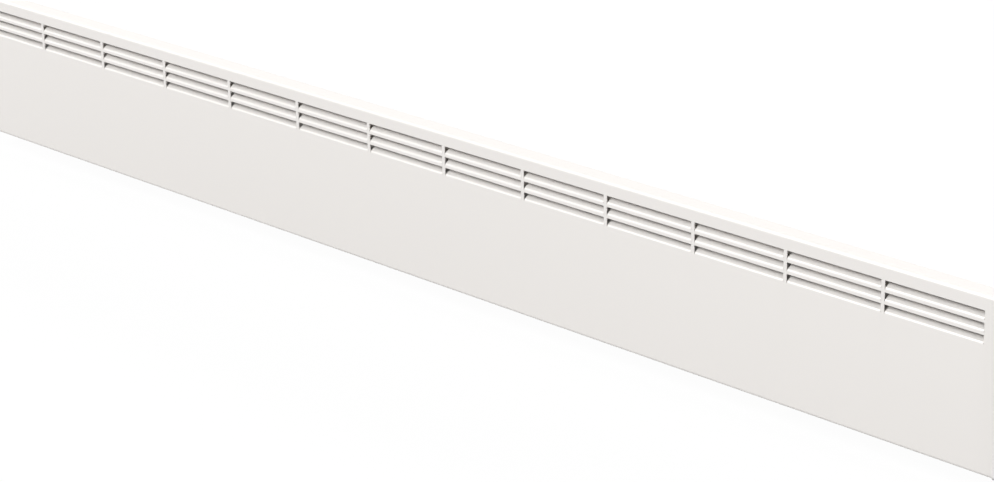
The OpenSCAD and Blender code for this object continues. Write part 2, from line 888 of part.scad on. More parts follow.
module element_bracket() {
    x = bracket_end_x;
    color(steel)
        difference() {
            support_plate(x);
            rod_x([x - through, element_y, element_z], bush_r, bulkhead_t + 2 * through);
            foot_holes(x);
        }
}

module element_supports() {
    color(steel)
        for (j = [1:len(support_x()) - 2])
            let (x = support_x()[j])
            difference() {
                support_plate(x);
                translate([0, element_y, element_z])
                    along_x(x - through, x + bulkhead_t + through)
                        element_hole();
                foot_holes(x);
            }
}

module control_bulkhead() {
    x = bulkhead_x;
    inset = -sheet_t - 2;
    blade_reach = window_h + 1.5;
    color(steel)
        difference() {
            union() {
                along_x(x, x + bulkhead_t)
                    polygon(casing_shape(inset, 0));
                block([x, front_y + 8, floor_top_z], [x + bulkhead_t, back_y - 6, base_z + 6]);
                plate_foot(x, front_y + return_d, back_y - 6);
            }
            rod_x([x - through, element_y, element_z], bush_r, bulkhead_t + 2 * through);
            rod_x([x - through, element_y, cutout_z()], 8 + fit_gap, bulkhead_t + 2 * through);
            // Room for the louvre blades
            block([x - through, front_y, row_z(louvre_rows - 1) - 2],
                [x + bulkhead_t + through, front_y + blade_reach, row_z(0) + window_h]);
            // Passage for the return lead
            rod_x([x - through, return_y(), return_z()], lead_r + 1, bulkhead_t + 2 * through);
            foot_holes(x);
        }
}

module support_screws() {
    color(steel)
        for (p = support_screw_places())
            translate([p.x, p.y, floor_z - half_t])
                pan_screw(6);
}

// ---- Reflector ----

function reflector_rivet_places() = [for (i = [0:4], v = [0, 1])
    [reflector_x[0] + 40 + i * (reflector_x[1] - reflector_x[0] - 80) / 4,
        v == 0 ? reflector_z[0] + 4 : reflector_z[1] - 4]];

module heat_reflector() {
    flange_y = back_in_y - reflector_t / 2;
    face_y = flange_y - reflector_stand;
    path = [[flange_y, reflector_z[0]], [flange_y, reflector_z[0] + reflector_lip],
        [face_y, reflector_z[0] + reflector_lip + 4], [face_y, reflector_z[1] - reflector_lip - 4],
        [flange_y, reflector_z[1] - reflector_lip], [flange_y, reflector_z[1]]];
    color(bright_metal)
        difference() {
            along_x(reflector_x[0], reflector_x[1])
                sheet_section(path, [0, 1, 1, 1, 1, 0], reflector_t);
            for (p = reflector_rivet_places())
                rod_y([p.x, flange_y - 2, p.y], 1.6 + running_gap, 4);
            // Space for the inner heads of the hanger rivets
            for (p = hanger_rivet_places())
                block([p.x - 5, back_in_y - 2.2, p.y - 5], [p.x + 5, back_y, p.y + 5]);
        }
}

module reflector_rivets() {
    color(bright_metal)
        for (p = reflector_rivet_places())
            rivet(p.x, p.y, 1.6, back_in_y - reflector_t, back_y);
}

// ---- Controls ----

module thermostat_body() {
    w = thermostat_w / 2;
    color(dark_plastic)
        difference() {
            union() {
                block([thermostat_x, control_y - w, knob_z - w],
                    [plate_x - 4, control_y + w, knob_z + w]);
                block([plate_x - 4, control_y - w + 4, knob_z - w + 1],
                    [plate_x, control_y + w - 4, knob_z + w - 1]);
                rod_x([plate_x - tiny, control_y, knob_z], collar_r, pocket_floor_t + tiny);
                // Terminal blades
                for (s = [-1, 1])
                    block([thermostat_x - 7, control_y + s * 8 - 0.4, knob_z + 6],
                        [thermostat_x + 1, control_y + s * 8 + 0.4, knob_z + 12.3]);
            }
            rod_x([spindle_back_x - 0.5, control_y, knob_z], spindle_r + running_gap, 30);
            for (s = [-1, 1])
                rod_x([plate_x - 6, control_y, knob_z + s * thermostat_screw_z],
                    1.5 + running_gap, 8);
        }
}

module spindle_flat(gap) {
    block([knob_bottom_x - gap, control_y - 6, knob_z + spindle_r / 2 + gap],
        [knob_bottom_x + 30, control_y + 6, knob_z + 8]);
}

module thermostat_spindle() {
    color(bright_metal)
        difference() {
            rod_x([spindle_back_x, control_y, knob_z], spindle_r, spindle_l);
            spindle_flat(0);
        }
}

module thermostat_knob() {
    flutes = 24;
    flute_r = 1.5;
    skirt_h = 3;
    color(white_plastic)
        translate([knob_bottom_x, control_y, knob_z])
            rotate([0, 90, 0])
                difference() {
                    union() {
                        cylinder(h = skirt_h, r = knob_r);
                        difference() {
                            cylinder(h = knob_h, r1 = knob_r - 1.5, r2 = knob_r - 2.5);
                            for (k = [0:flutes - 1])
                                rotate(360 * k / flutes)
                                    translate([knob_r - 1.5, 0, skirt_h])
                                        cylinder(h = knob_h, r = flute_r);
                        }
                    }
                    // Hollow that clears the screw heads, and the shallow dish on top
                    difference() {
                        translate([0, 0, -through])
                            cylinder(h = 5 + through, r = knob_r - 2);
                        translate([0, 0, -2 * through])
                            cylinder(h = 9, r = spindle_r + 2.5);
                    }
                    translate([0, 0, knob_h + 40 - 1])
                        sphere(40, $fn = 96);
                    // Pointer groove
                    translate([-knob_r, -0.8, knob_h - 1.2])
                        cube([knob_r - 4, 1.6, 2]);
                    // D-shaped bore
                    difference() {
                        translate([0, 0, -through])
                            cylinder(h = knob_h - 3 + through, r = spindle_r);
                        translate([-8, -6, -2 * through])
                            cube([8 - spindle_r / 2, 12, knob_h + 4]);
                    }
                }
}

module thermostat_screws() {
    color(steel)
        for (s = [-1, 1])
            translate([pocket_x, control_y, knob_z + s * thermostat_screw_z])
                rotate([0, -90, 0]) {
                    cylinder(h = pocket_floor_t + 4, r = 1.5);
                    translate([0, 0, -1.6])
                        cylinder(h = 1.6, r = 2.6);
                }
}

module switch_body() {
    cavity_r = rocker_r + free_gap;
    flange = 1.2;
    color(dark_plastic)
        difference() {
            union() {
                block([pocket_x - switch_d, control_y - switch_w / 2, switch_z - switch_h / 2],
                    [pocket_x + tiny, control_y + switch_w / 2, switch_z + switch_h / 2]);
                block([pocket_x, control_y - switch_w / 2 - flange,
                        switch_z - switch_h / 2 - flange],
                    [pocket_x + 2.4, control_y + switch_w / 2 + flange,
                        switch_z + switch_h / 2 + flange]);
                for (s = [-1, 1])
                    block([pocket_x - switch_d - 7, control_y - 2.4, switch_z + s * 5 - 0.4],
                        [pocket_x - switch_d + 1, control_y + 2.4, switch_z + s * 5 + 0.4]);
            }
            rod_y([rocker_x, control_y - rocker_w / 2 - free_gap / 2, switch_z], cavity_r,
                rocker_w + free_gap);
            rod_y([rocker_x, control_y - rocker_w / 2 - 1.4, switch_z],
                rocker_pin_r + running_gap, rocker_w + 2.8);
        }
}

// The rocker at rest, pressed at its lower end; it turns about the Y axis
module switch_rocker() {
    color(dark_plastic)
        translate([rocker_x, control_y, switch_z])
            rotate([0, rocker_angle, 0]) {
                rotate([90, 0, 0])
                    translate([0, 0, -rocker_w / 2])
                        linear_extrude(rocker_w)
                            intersection() {
                                circle(rocker_r);
                                polygon([[-5, -9], [2.8, -9], [1.6 + 2.4, -7.6], [2.6, 0],
                                    [1.6 + 2.4, 7.6], [2.8, 9], [-5, 9]]);
                            }
                rod_y([0, -rocker_w / 2 - 1.2, 0], rocker_pin_r, rocker_w + 2.4);
            }
}

// Lens with its rim and body, turned in one piece, and two contact wires behind
module pilot_lamp() {
    body_l = 18;
    rim_h = 1.2;
    dome_r = 6.4;
    color(red_lens)
        translate([pocket_x, control_y, lamp_z])
            rotate([0, 90, 0]) {
                rotate_extrude() {
                    translate([0, -body_l])
                        square([lamp_r, body_l + rim_h]);
                    square([lamp_r + 1, rim_h]);
                    intersection() {
                        translate([0, rim_h + 2.4 - dome_r])
                            circle(dome_r);
                        square([lamp_r, dome_r]);
                    }
                }
                for (s = [-1, 1])
                    translate([s * 2, 0, -body_l - 4])
                        cylinder(h = 5, r = 0.5);
            }
}

// Sensing bulb near the floor vents, with the capillary up to the thermostat
function bulb_place() = [bulkhead_x + 34, inlet_y[0] - inlet_w / 2 - 4, floor_top_z + 8];

module capillary_sensor() {
    p = bulb_place();
    exit = [thermostat_x, control_y - 10, knob_z - 10];
    color(bright_metal) {
        rod_x(p, 3, 38);
        lead([p + [38 - tiny, 0, 0], p + [44, 0, 0], p + [44, 0, 28],
                [thermostat_x - 12, p.y, p.z + 44], [thermostat_x - 12, exit.y, exit.z], exit],
            0.9, [0, 1, 0], 4);
    }
}

module sensor_clips() {
    p = bulb_place();
    color(white_plastic)
        for (x = [6, 20])
            difference() {
                union() {
                    block([p.x + x, p.y - 4.4, p.z - 4.4], [p.x + x + 4, p.y + 4.4, p.z + 1]);
                    block([p.x + x, p.y - 2, floor_top_z], [p.x + x + 4, p.y + 4.4, p.z - 4]);
                }
                rod_x([p.x + x - through, p.y, p.z], 3 + running_gap, 4 + 2 * through);
            }
}

function cutout_z() = element_z + 62;

// Limiter disc that looks into the hot chamber, with its ears on the bulkhead
module thermal_cutout() {
    x = bulkhead_x;
    ear_h = 10;
    color(dark_plastic)
        translate([0, element_y, cutout_z()]) {
            rod_x([x - 5, 0, 0], 8, bulkhead_t + 5);
            difference() {
                block([x + bulkhead_t, -ear_h / 2, -17], [x + bulkhead_t + 1.2, ear_h / 2, 17]);
                for (s = [-1, 1])
                    rod_x([x, 0, s * 13], 1.6, 6);
            }
            rod_x([x + bulkhead_t, 0, 0], 8.5, 9);
            for (s = [-1, 1])
                block([x + bulkhead_t + 8, s * 4.5 - 0.4, -3], [x + bulkhead_t + 17, s * 4.5 + 0.4, 3.3]);
        }
}

// ---- Supply ----

module cable_gland() {
    collar_l = 5;
    color(dark_plastic)
        difference() {
            union() {
                rod_y([gland_x, back_in_y - collar_l, gland_z], cable_r + 2, collar_l + sheet_t);
                rod_y([gland_x, back_y, gland_z], gland_flange_r, 2.5);
                rod_y([gland_x, back_in_y - collar_l, gland_z], gland_flange_r, collar_l - fit_gap);
            }
            rod_y([gland_x, back_in_y - collar_l - through, gland_z], cable_r,
                collar_l + sheet_t + 3 + 2 * through);
        }
}

// Saddle that holds the supply cable against the back wall
module cable_clamp() {
    z = gland_z + 24;
    w = 2 * cable_r + 14;
    color(white_plastic)
        difference() {
            union() {
                block([gland_x - w / 2, back_in_y - 4, z - 5], [gland_x + w / 2, back_in_y, z + 5]);
                rod_z([gland_x, back_in_y - cable_r, z - 5], cable_r + 2.5, 10);
            }
            rod_z([gland_x, back_in_y - cable_r, z - 5 - through], cable_r, 10 + 2 * through);
            block([gland_x - w, back_in_y - tiny, z - 10], [gland_x + w, back_in_y + 20, z + 10]);
            for (s = [-1, 1])
                rod_y([gland_x + s * (w / 2 - 3), back_in_y - 5, z], 1.6, 6);
        }
}

module terminal_block() {
    poles = 3;
    pole_l = block_l / poles;
    y = back_in_y - block_d;
    color(white_plastic)
        difference() {
            block([block_x, y, block_z], [block_x + block_l, back_in_y, block_z + block_h]);
            for (k = [0:poles - 1]) {
                rod_z([block_x + (k + 0.5) * pole_l, y + 6, block_z - through], 2.4,
                    block_h + 2 * through);
                for (z = [4.5, block_h - 4.5])
                    rod_y([block_x + (k + 0.5) * pole_l, y - through, block_z + z], 2, 5);
            }
            for (k = [1:poles - 1])
                block([block_x + k * pole_l - 0.6, y - through, block_z - through],
                    [block_x + k * pole_l + 0.6, y + 4, block_z + block_h + through]);
        }
}

// Stud with washers and nut, its head outside the back wall
module earth_stud() {
    color(brass)
        translate([earth_x, 0, earth_z]) {
            rod_y([0, back_in_y - 12, 0], 2, 13);
            rod_y([0, back_y, 0], 3.6, 2);
            rod_y([0, back_in_y - 1, 0], 4.5, 1);
            translate([0, back_in_y - 5.2, 0])
                rotate([-90, 0, 0])
                    cylinder(h = 3.2, r = 4, $fn = 6);
        }
}

// ---- Leads ----

function pole_top(k) = [block_x + (k + 0.5) * block_l / 3, back_in_y - block_d + 6, block_z + block_h];
function return_y() = back_in_y - 3;
function return_z() = back_top_z - 7;

// From the terminal block to the switch
module live_lead() {
    a = pole_top(0);
    b = [pocket_x - switch_d - 7, control_y, switch_z - 5];
    color(brown_wire)
        lead([a, a + [0, 0, 12], [b.x - 10, b.y + 10, a.z + 12], [b.x - 10, b.y, b.z], b],
            lead_r, [1, 0, 0], 4);
}

// From the switch to the thermostat
module switch_lead() {
    a = [pocket_x - switch_d - 7, control_y, switch_z + 5];
    b = [thermostat_x - 7, control_y + 8, knob_z + 9];
    color(brown_wire)
        lead([a, a - [13, 0, 0], [a.x - 13, b.y, b.z], b], lead_r, [0, 1, 0], 4);
}

// From the thermostat to the thermal cut-out
module limiter_lead() {
    a = [thermostat_x - 7, control_y - 8, knob_z + 9];
    b = [bulkhead_x + bulkhead_t + 17, element_y + 4.5, cutout_z()];
    color(brown_wire)
        lead([a, a - [8, 0, 0], [b.x + 10, b.y, b.z], b], lead_r, [0, 1, 0], 4);
}

// From the thermal cut-out to the element's right terminal
module element_lead() {
    a = [bulkhead_x + bulkhead_t + 17, element_y - 4.5, cutout_z()];
    b = [rod_x[1] + terminal_l, element_y, element_z];
    color(brown_wire)
        lead([a, a + [6, 0, 0], [a.x + 6, b.y - 8, cutout_z() - 30], [b.x + 8, b.y, b.z], b],
            lead_r, [0, 1, 0], 4);
}

// From the element's left terminal back along the casing to the terminal block, in a glass-fibre
// sleeve because it runs through the hot chamber
module return_lead() {
    a = [rod_x[0] - terminal_l, element_y, element_z];
    b = pole_top(1);
    y = return_y();
    z = return_z();
    color(glass_sleeve)
        lead([a, a - [10, 0, 0], [a.x - 10, y, element_z + 10], [a.x - 10, y, z],
                [bulkhead_x + 16, y, z], [b.x, b.y, b.z + 26], b],
            lead_r, [0, 0, 1], 5);
}

// From the earth stud to the terminal block
module earth_lead() {
    ring_y = back_in_y - 6.2;
    a = [earth_x, ring_y - 0.6, earth_z + 3.4];
    b = pole_top(2);
    color(green_wire) {
        difference() {
            rod_y([earth_x, ring_y, earth_z], 4.2, 1);
            rod_y([earth_x, ring_y - through, earth_z], 2 + running_gap, 1 + 2 * through);
        }
        lead([a, a + [0, 0, 14], [b.x, b.y, b.z + 24], b], lead_r, [0, 1, 0], 4);
    }
}

module lead_clips() {
    w = 6;
    color(white_plastic)
        for (i = [2:3:louvre_groups - 1])
            difference() {
                block([divider_x(i) - w / 2, return_y() - lead_r - 1.2, return_z() - lead_r - 2],
                    [divider_x(i) + w / 2, back_in_y, return_z() + lead_r + 2]);
                rod_x([divider_x(i) - w, return_y(), return_z()], lead_r + running_gap, 2 * w);
            }
}

front_cover();
rear_casing();
end_cap_left();
end_cap_right();
casing_screws();
wall_bracket_left();
wall_bracket_right();
bracket_clips();
bracket_buffers();
hanger_left();
hanger_right();
hanger_pins();
hanger_rivets();
thermostat_knob();
switch_rocker();
switch_body();
pilot_lamp();
cable_gland();
element_profile();
element_rod();
element_bushes();
element_bracket();
element_supports();
control_bulkhead();
support_screws();
heat_reflector();
reflector_rivets();
thermal_cutout();
thermostat_body();
thermostat_spindle();
thermostat_screws();
capillary_sensor();
sensor_clips();
terminal_block();
earth_stud();
cable_clamp();
live_lead();
switch_lead();
limiter_lead();
element_lead();
return_lead();
earth_lead();
lead_clips();
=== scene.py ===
"""Looks of a long low wall heater: louvred sheet, moulded caps, finishes and a studio stage."""

import json
import math

import bmesh
import bpy
import numpy as np
from mathutils import Matrix, Vector
from mathutils.geometry import tessellate_polygon


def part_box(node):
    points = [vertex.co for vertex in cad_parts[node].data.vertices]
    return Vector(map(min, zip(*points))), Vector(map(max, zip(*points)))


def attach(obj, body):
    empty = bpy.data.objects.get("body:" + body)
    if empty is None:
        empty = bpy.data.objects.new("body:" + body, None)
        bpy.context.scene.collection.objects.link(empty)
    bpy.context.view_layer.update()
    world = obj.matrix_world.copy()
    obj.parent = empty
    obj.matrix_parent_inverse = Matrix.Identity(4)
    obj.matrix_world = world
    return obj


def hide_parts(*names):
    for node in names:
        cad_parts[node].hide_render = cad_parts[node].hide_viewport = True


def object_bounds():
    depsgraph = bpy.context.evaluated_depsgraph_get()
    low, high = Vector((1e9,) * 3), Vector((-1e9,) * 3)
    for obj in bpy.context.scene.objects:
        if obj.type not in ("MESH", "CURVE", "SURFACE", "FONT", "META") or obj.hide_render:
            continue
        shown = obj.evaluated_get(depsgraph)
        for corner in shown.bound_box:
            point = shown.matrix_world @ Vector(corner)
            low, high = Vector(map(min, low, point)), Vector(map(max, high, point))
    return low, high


bl_info = {
    "name": "Plinth heater",
    "version": (1, 0, 0),
    "blender": (4, 5, 0),
    "location": "3D View > Sidebar > Heater",
    "description": "Louvred sheet, moulded caps, control marks, finishes and stage of a plinth heater",
    "category": "Object",
}

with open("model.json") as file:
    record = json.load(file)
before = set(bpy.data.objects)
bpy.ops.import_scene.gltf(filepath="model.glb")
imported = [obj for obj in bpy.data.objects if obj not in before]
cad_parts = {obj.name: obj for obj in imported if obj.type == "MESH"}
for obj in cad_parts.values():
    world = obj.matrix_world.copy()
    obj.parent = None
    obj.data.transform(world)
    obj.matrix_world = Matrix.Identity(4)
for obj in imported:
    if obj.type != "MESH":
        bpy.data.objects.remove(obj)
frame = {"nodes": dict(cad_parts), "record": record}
CAD_BOX = [list(corner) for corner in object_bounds()]
SLOT_COLOR = {m["slot"]: m["base_color"] for m in frame["record"]["materials"]}
NODE_SLOT = {s["node"]: s["material_slot"] for s in frame["record"]["subparts"]}
MM = 0.001
# Distance of the points that keep a flat level beside an arc
GUARD = 0.4 * MM
# Steps in each rounded corner of the casing's and the pocket's outlines
CORNER_STEPS = 10
# Height of a printed mark above its surface
INK = 0.03 * MM
# Radius of the small opening that a turned piece's plate closes
PINHOLE = 0.05 * MM
# Angle between two figures on the dial
DIAL_STEP = math.radians(45.0)
WHITE = (1.0, 1.0, 1.0, 1.0)

# Mouldings: roughness, width and height of the grain, change of tone, specular level
MOULDINGS = {
    "knob_plastic": (0.34, 0.6 * MM, 0.006 * MM, 0.02, 0.45),
    "dark_plastic": (0.5, 0.4 * MM, 0.02 * MM, 0.12, 0.45),
    "ceramic": (0.62, 0.3 * MM, 0.03 * MM, 0.06, 0.35),
    "rubber": (0.72, 0.5 * MM, 0.04 * MM, 0.2, 0.3),
    "glass_sleeve": (0.8, 0.5 * MM, 0.08 * MM, 0.06, 0.25),
    "print": (0.5, 0.3 * MM, 0.003 * MM, 0.1, 0.45),
}
# Metals: roughness, squeeze of the texture along the streaks, width of a streak, colour and size of
# the patches
METALS = {
    "zinc_steel": (0.4, (0.25, 1.0, 1.0), 1.2 * MM, (0.62, 0.6, 0.5), 14 * MM),
    "spring_steel": (0.3, (1.0, 1.0, 0.06), 0.5 * MM, (0.42, 0.42, 0.46), 20 * MM),
    "aluminium": (0.36, (0.02, 1.0, 1.0), 0.8 * MM, (0.7, 0.71, 0.73), 50 * MM),
    "brass": (0.28, (1.0, 1.0, 0.2), 0.4 * MM, (0.6, 0.42, 0.2), 6 * MM),
}
# Softboxes: place, width and height, setting of the power, shown in reflections
SOFTBOXES = {
    "key_softbox": ((0.2, -4.85, 4.1), (5.0, 3.6), "key_power", True),
    "left_softbox": ((-5.0, -0.3, 0.6), (2.5, 2.0), "side_power", True),
    "right_softbox": ((5.0, -0.3, 0.6), (2.5, 2.0), "side_power", True),
    "back_softbox": ((-0.6, 4.6, 2.65), (4.0, 2.0), "back_power", False),
}


# ---- Properties ----


def length_prop(name, description, default):
    """A length in metres."""
    return bpy.props.FloatProperty(
        name=name, description=description, default=default, min=0.0, unit="LENGTH", precision=5
    )


def color_prop(name, description, default):
    """A linear colour."""
    return bpy.props.FloatVectorProperty(
        name=name, description=description, default=default, size=3, min=0.0, max=1.0, subtype="COLOR"
    )


def share_prop(name, description, default):
    """A share between 0 and 1."""
    return bpy.props.FloatProperty(
        name=name, description=description, default=default, min=0.0, max=1.0, subtype="FACTOR"
    )


def angle_prop(name, description, degrees):
    """An angle, given in degrees."""
    return bpy.props.FloatProperty(
        name=name, description=description, default=math.radians(degrees), subtype="ANGLE"
    )


def count_prop(name, description, default, least=1):
    """A whole number."""
    return bpy.props.IntProperty(name=name, description=description, default=default, min=least)


def amount_prop(name, description, default, unit="NONE"):
    """A plain amount, or one in a unit."""
    return bpy.props.FloatProperty(
        name=name, description=description, default=default, min=0.0, unit=unit
    )


class HeaterFinish(bpy.types.PropertyGroup):
    """Colours and texture sizes of the finishes."""

    coat_color: color_prop("Powder coat", "Colour of the coated sheet", SLOT_COLOR["powder_coat"])
    cap_color: color_prop("End caps", "Colour of the moulded caps", SLOT_COLOR["cap_plastic"])
    knob_color: color_prop("Knob", "Colour of the thermostat knob", SLOT_COLOR["knob_plastic"])
    mark_color: color_prop("Marks", "Colour of the printed marks", (0.11, 0.115, 0.12))
    coat_roughness: share_prop("Coat roughness", "Roughness of the powder coat", 0.68)
    peel_size: length_prop("Orange peel", "Width of one wave in the powder coat", 1.8 * MM)
    peel_depth: length_prop("Peel depth", "Height of the waves in the powder coat", 0.018 * MM)
    spark_size: length_prop("Mould grain", "Width of one grain on the moulded caps", 0.45 * MM)
    spark_depth: length_prop("Grain depth", "Height of the grain on the moulded caps", 0.02 * MM)


class HeaterForm(bpy.types.PropertyGroup):
    """Sizes of the pieces that are made here; where they stand comes from the frame."""

    sheet: length_prop("Sheet", "Thickness of the casing sheet", 1.0 * MM)
    front_bend: length_prop("Front bend", "Outside radius of the soft bends of the front", 4.0 * MM)
    bend: length_prop("Bends", "Outside radius of the other bends", 2.2 * MM)
    step: length_prop("Step", "Height of the step behind the flat top", 14.0 * MM)
    return_depth: length_prop("Return", "Depth of the return under the front sheet", 18.0 * MM)
    roof_front_drop: length_prop("Roof front", "From the flat top down to the roof's front", 17.0 * MM)
    roof_back_drop: length_prop("Roof back", "From the flat top down to the roof's back", 40.0 * MM)
    bead: length_prop("Beads", "Height of the beads pressed in the back wall", 2.2 * MM)
    broken_edge: length_prop("Broken edge", "Rounding of the sheet's cut edges", 0.14 * MM)
    louvre_groups: count_prop("Louvre groups", "Groups of louvres along the front", 13)
    louvre_rows: count_prop("Louvre rows", "Rows of louvres in a group", 3)
    louvre_pitch: length_prop("Louvre pitch", "Distance from one group to the next", 130.0 * MM)
    divider: length_prop("Divider", "Width of the plain strip between two groups", 4.5 * MM)
    end_margin: length_prop("End margin", "Plain margin outside the end groups", 18.25 * MM)
    first_window: length_prop("First window", "From the flat top down to the first window", 16.9 * MM)
    window_height: length_prop("Window", "Height of one louvre window", 10.3 * MM)
    row_pitch: length_prop("Row pitch", "Distance from one row to the next", 13.5 * MM)
    blade_angle: angle_prop("Blade angle", "Angle of a blade above the horizontal", 30.0)
    blade_bend: length_prop("Blade bend", "Outside bend radius of a blade", 3.2 * MM)
    slit: length_prop("Slit", "Width of the cut round a blade", 0.6 * MM)
    cap_depth: length_prop("Cap depth", "Length of a cap outside the casing", 14.0 * MM)
    cap_proud: length_prop("Cap proud", "How far a cap stands proud of the casing", 1.4 * MM)
    cap_edge: length_prop("Cap edge", "Rounding of a cap's outer edge", 3.0 * MM)
    cap_wall: length_prop("Cap wall", "Wall thickness of a cap", 2.0 * MM)
    spigot: length_prop("Spigot", "Length of a cap inside the casing", 12.0 * MM)
    fit_gap: length_prop("Fit gap", "Gap between a spigot and the sheet", 0.2 * MM)
    control_y: bpy.props.FloatProperty(
        name="Control line", description="Place of the controls from front to back",
        default=-50.0 * MM, unit="LENGTH", precision=5)
    pocket_width: length_prop("Pocket width", "Width of the control pocket", 42.0 * MM)
    pocket_height: length_prop("Pocket height", "Height of the control pocket", 122.0 * MM)
    pocket_corner: length_prop("Pocket corners", "Corner radius of the control pocket", 8.0 * MM)
    pocket_depth: length_prop("Pocket depth", "Depth of the control pocket", 7.0 * MM)
    pocket_floor: length_prop("Pocket floor", "Thickness of the pocket's floor", 3.0 * MM)
    knob_radius: length_prop("Knob radius", "Radius of the knob's skirt", 16.0 * MM)
    knob_height: length_prop("Knob height", "Height of the knob", 13.0 * MM)
    knob_flutes: count_prop("Knob flutes", "Finger flutes round the knob", 24, least=3)
    flute_radius: length_prop("Flute radius", "Radius of one finger flute", 1.5 * MM)
    dial_radius: length_prop("Dial radius", "Radius of the circle of printed numbers", 18.5 * MM)
    dial_size: length_prop("Dial figures", "Size of the printed numbers", 3.6 * MM)


class HeaterStage(bpy.types.PropertyGroup):
    """Camera, floor and lamps."""

    camera_place: bpy.props.FloatVectorProperty(
        name="Camera", description="Place of the camera", default=(2.3546, -2.3195, 1.1927),
        size=3, subtype="TRANSLATION", unit="LENGTH")
    camera_azimuth: angle_prop("Azimuth", "Direction the camera looks in, round from +Y", 44.493)
    camera_elevation: angle_prop("Elevation", "How far down the camera looks", 20.752)
    camera_roll: angle_prop("Roll", "Turn of the camera about its own axis", -0.968)
    focal_pixels: amount_prop("Focal length", "Focal length in pixels of the picture", 2839.97)
    picture_width: count_prop("Picture width", "Width of the picture in pixels", 994)
    floor_gap: length_prop("Floor gap", "Height of the casing above the floor", 30 * MM)
    floor_color: color_prop("Floor", "Colour of the floor as it is seen", (0.9, 0.9, 0.9))
    floor_bounce: color_prop("Bounce", "Colour of the floor as it lights the heater", (0.14, 0.14, 0.14))
    floor_white: share_prop("Floor white", "Share of plain white in the floor that is seen", 0.94)
    sky_strength: amount_prop("Surround light", "Strength of the even light from all sides", 0.33)
    key_power: amount_prop("Key softbox", "Power of the softbox in front and above", 350.0, "POWER")
    side_power: amount_prop("Side softboxes", "Power of the softbox at each end", 120.0, "POWER")
    back_power: amount_prop("Back softbox", "Power of the softbox behind", 184.0, "POWER")


# ---- Node wiring ----


class Wiring:
    """Adds nodes to one tree and feeds their inputs with sockets or plain values."""

    def __init__(self, tree):
        self.tree = tree
        tree.nodes.clear()

    def add(self, kind, inputs=None, **settings):
        node = self.tree.nodes.new(kind)
        for name, value in settings.items():
            setattr(node, name, value)
        for name, value in (inputs or {}).items():
            self.feed(node, name, value)
        return node

    def feed(self, node, name, value):
        socket = node.inputs[name]
        if isinstance(value, bpy.types.NodeSocket):
            self.tree.links.new(value, socket)
        else:
            socket.default_value = value

    def math(self, operation, a, b):
        return self.add("ShaderNodeMath", {0: a, 1: b}, operation=operation).outputs[0]

    def noise(self, vector, scale, detail):
        node = self.add("ShaderNodeTexNoise", {"Vector": vector, "Scale": scale, "Detail": detail})
        return node.outputs["Fac"]

    def span(self, value, low, high, to_low=0.0, to_high=1.0):
        """Maps low..high onto to_low..to_high and clamps."""
        node = self.add(
            "ShaderNodeMapRange",
            {"Value": value, "From Min": low, "From Max": high, "To Min": to_low, "To Max": to_high},
        )
        return node.outputs["Result"]

    def blend(self, mask, a, b):
        """Colour a where mask is 0, b where it is 1."""
        first, second = (c if isinstance(c, bpy.types.NodeSocket) else (*c, 1.0) for c in (a, b))
        return self.add("ShaderNodeMix", {0: mask, 6: first, 7: second}, data_type="RGBA").outputs[2]

    def object_coordinates(self, stretch=(1.0, 1.0, 1.0)):
        coordinates = self.add("ShaderNodeTexCoord").outputs["Object"]
        if stretch == (1.0, 1.0, 1.0):
            return coordinates
        return self.add("ShaderNodeMapping", {"Vector": coordinates, "Scale": stretch}).outputs[0]


def shared_group(name, vectors, numbers, masks):
    """A shader group that is made once and placed in each material that uses it. It takes vectors, and
    numbers with their defaults; masks works out what it puts out, by name, from its inputs."""
    if name in bpy.data.node_groups:
        return bpy.data.node_groups[name]
    group = bpy.data.node_groups.new(name, "ShaderNodeTree")
    w = Wiring(group)
    for socket in vectors:
        group.interface.new_socket(socket, in_out="INPUT", socket_type="NodeSocketVector")
    for socket, default in numbers.items():
        made = group.interface.new_socket(socket, in_out="INPUT", socket_type="NodeSocketFloat")
        made.default_value = default
    outputs = masks(w, w.add("NodeGroupInput").outputs)
    for socket in outputs:
        group.interface.new_socket(socket, in_out="OUTPUT", socket_type="NodeSocketFloat")
    w.add("NodeGroupOutput", outputs)
    return group


def texture_masks(w, inputs):
    """Surface of a coat or moulding: long waves with finer grain on them, and slow clouds of tone.
    Height is waves * (1 - share) + grain * share; Clouds is slow noise stretched to 0..1."""
    vector, share = inputs["Vector"], inputs["Grain Share"]
    waves = w.noise(vector, inputs["Wave Scale"], 1.5)
    grain = w.noise(vector, inputs["Grain Scale"], 2.0)
    clouds = w.span(w.noise(vector, inputs["Cloud Scale"], 3.0), 0.3, 0.7)
    kept = w.math("MULTIPLY", waves, w.math("SUBTRACT", 1.0, share))
    height = w.math("ADD", kept, w.math("MULTIPLY", grain, share))
    return {"Height": height, "Waves": waves, "Grain": grain, "Clouds": clouds}


def streak_masks(w, inputs):
    """Drawn or brushed metal: noise stretched along the working direction by the vector it is given,
    fine scratches of a second scale, and patches where the plating or oxide is thicker."""
    stretched, coarse = inputs["Stretched Vector"], inputs["Streak Scale"]
    streaks = w.span(w.noise(stretched, coarse, 3.0), 0.3, 0.7)
    fine = w.math("MULTIPLY", coarse, 3.7)
    scratches = w.span(w.noise(stretched, fine, 1.0), 0.45, 0.75)
    patches = w.span(w.noise(inputs["Plain Vector"], inputs["Patch Scale"], 4.0), 0.35, 0.65)
    return {"Streaks": streaks, "Scratches": scratches, "Patches": patches}


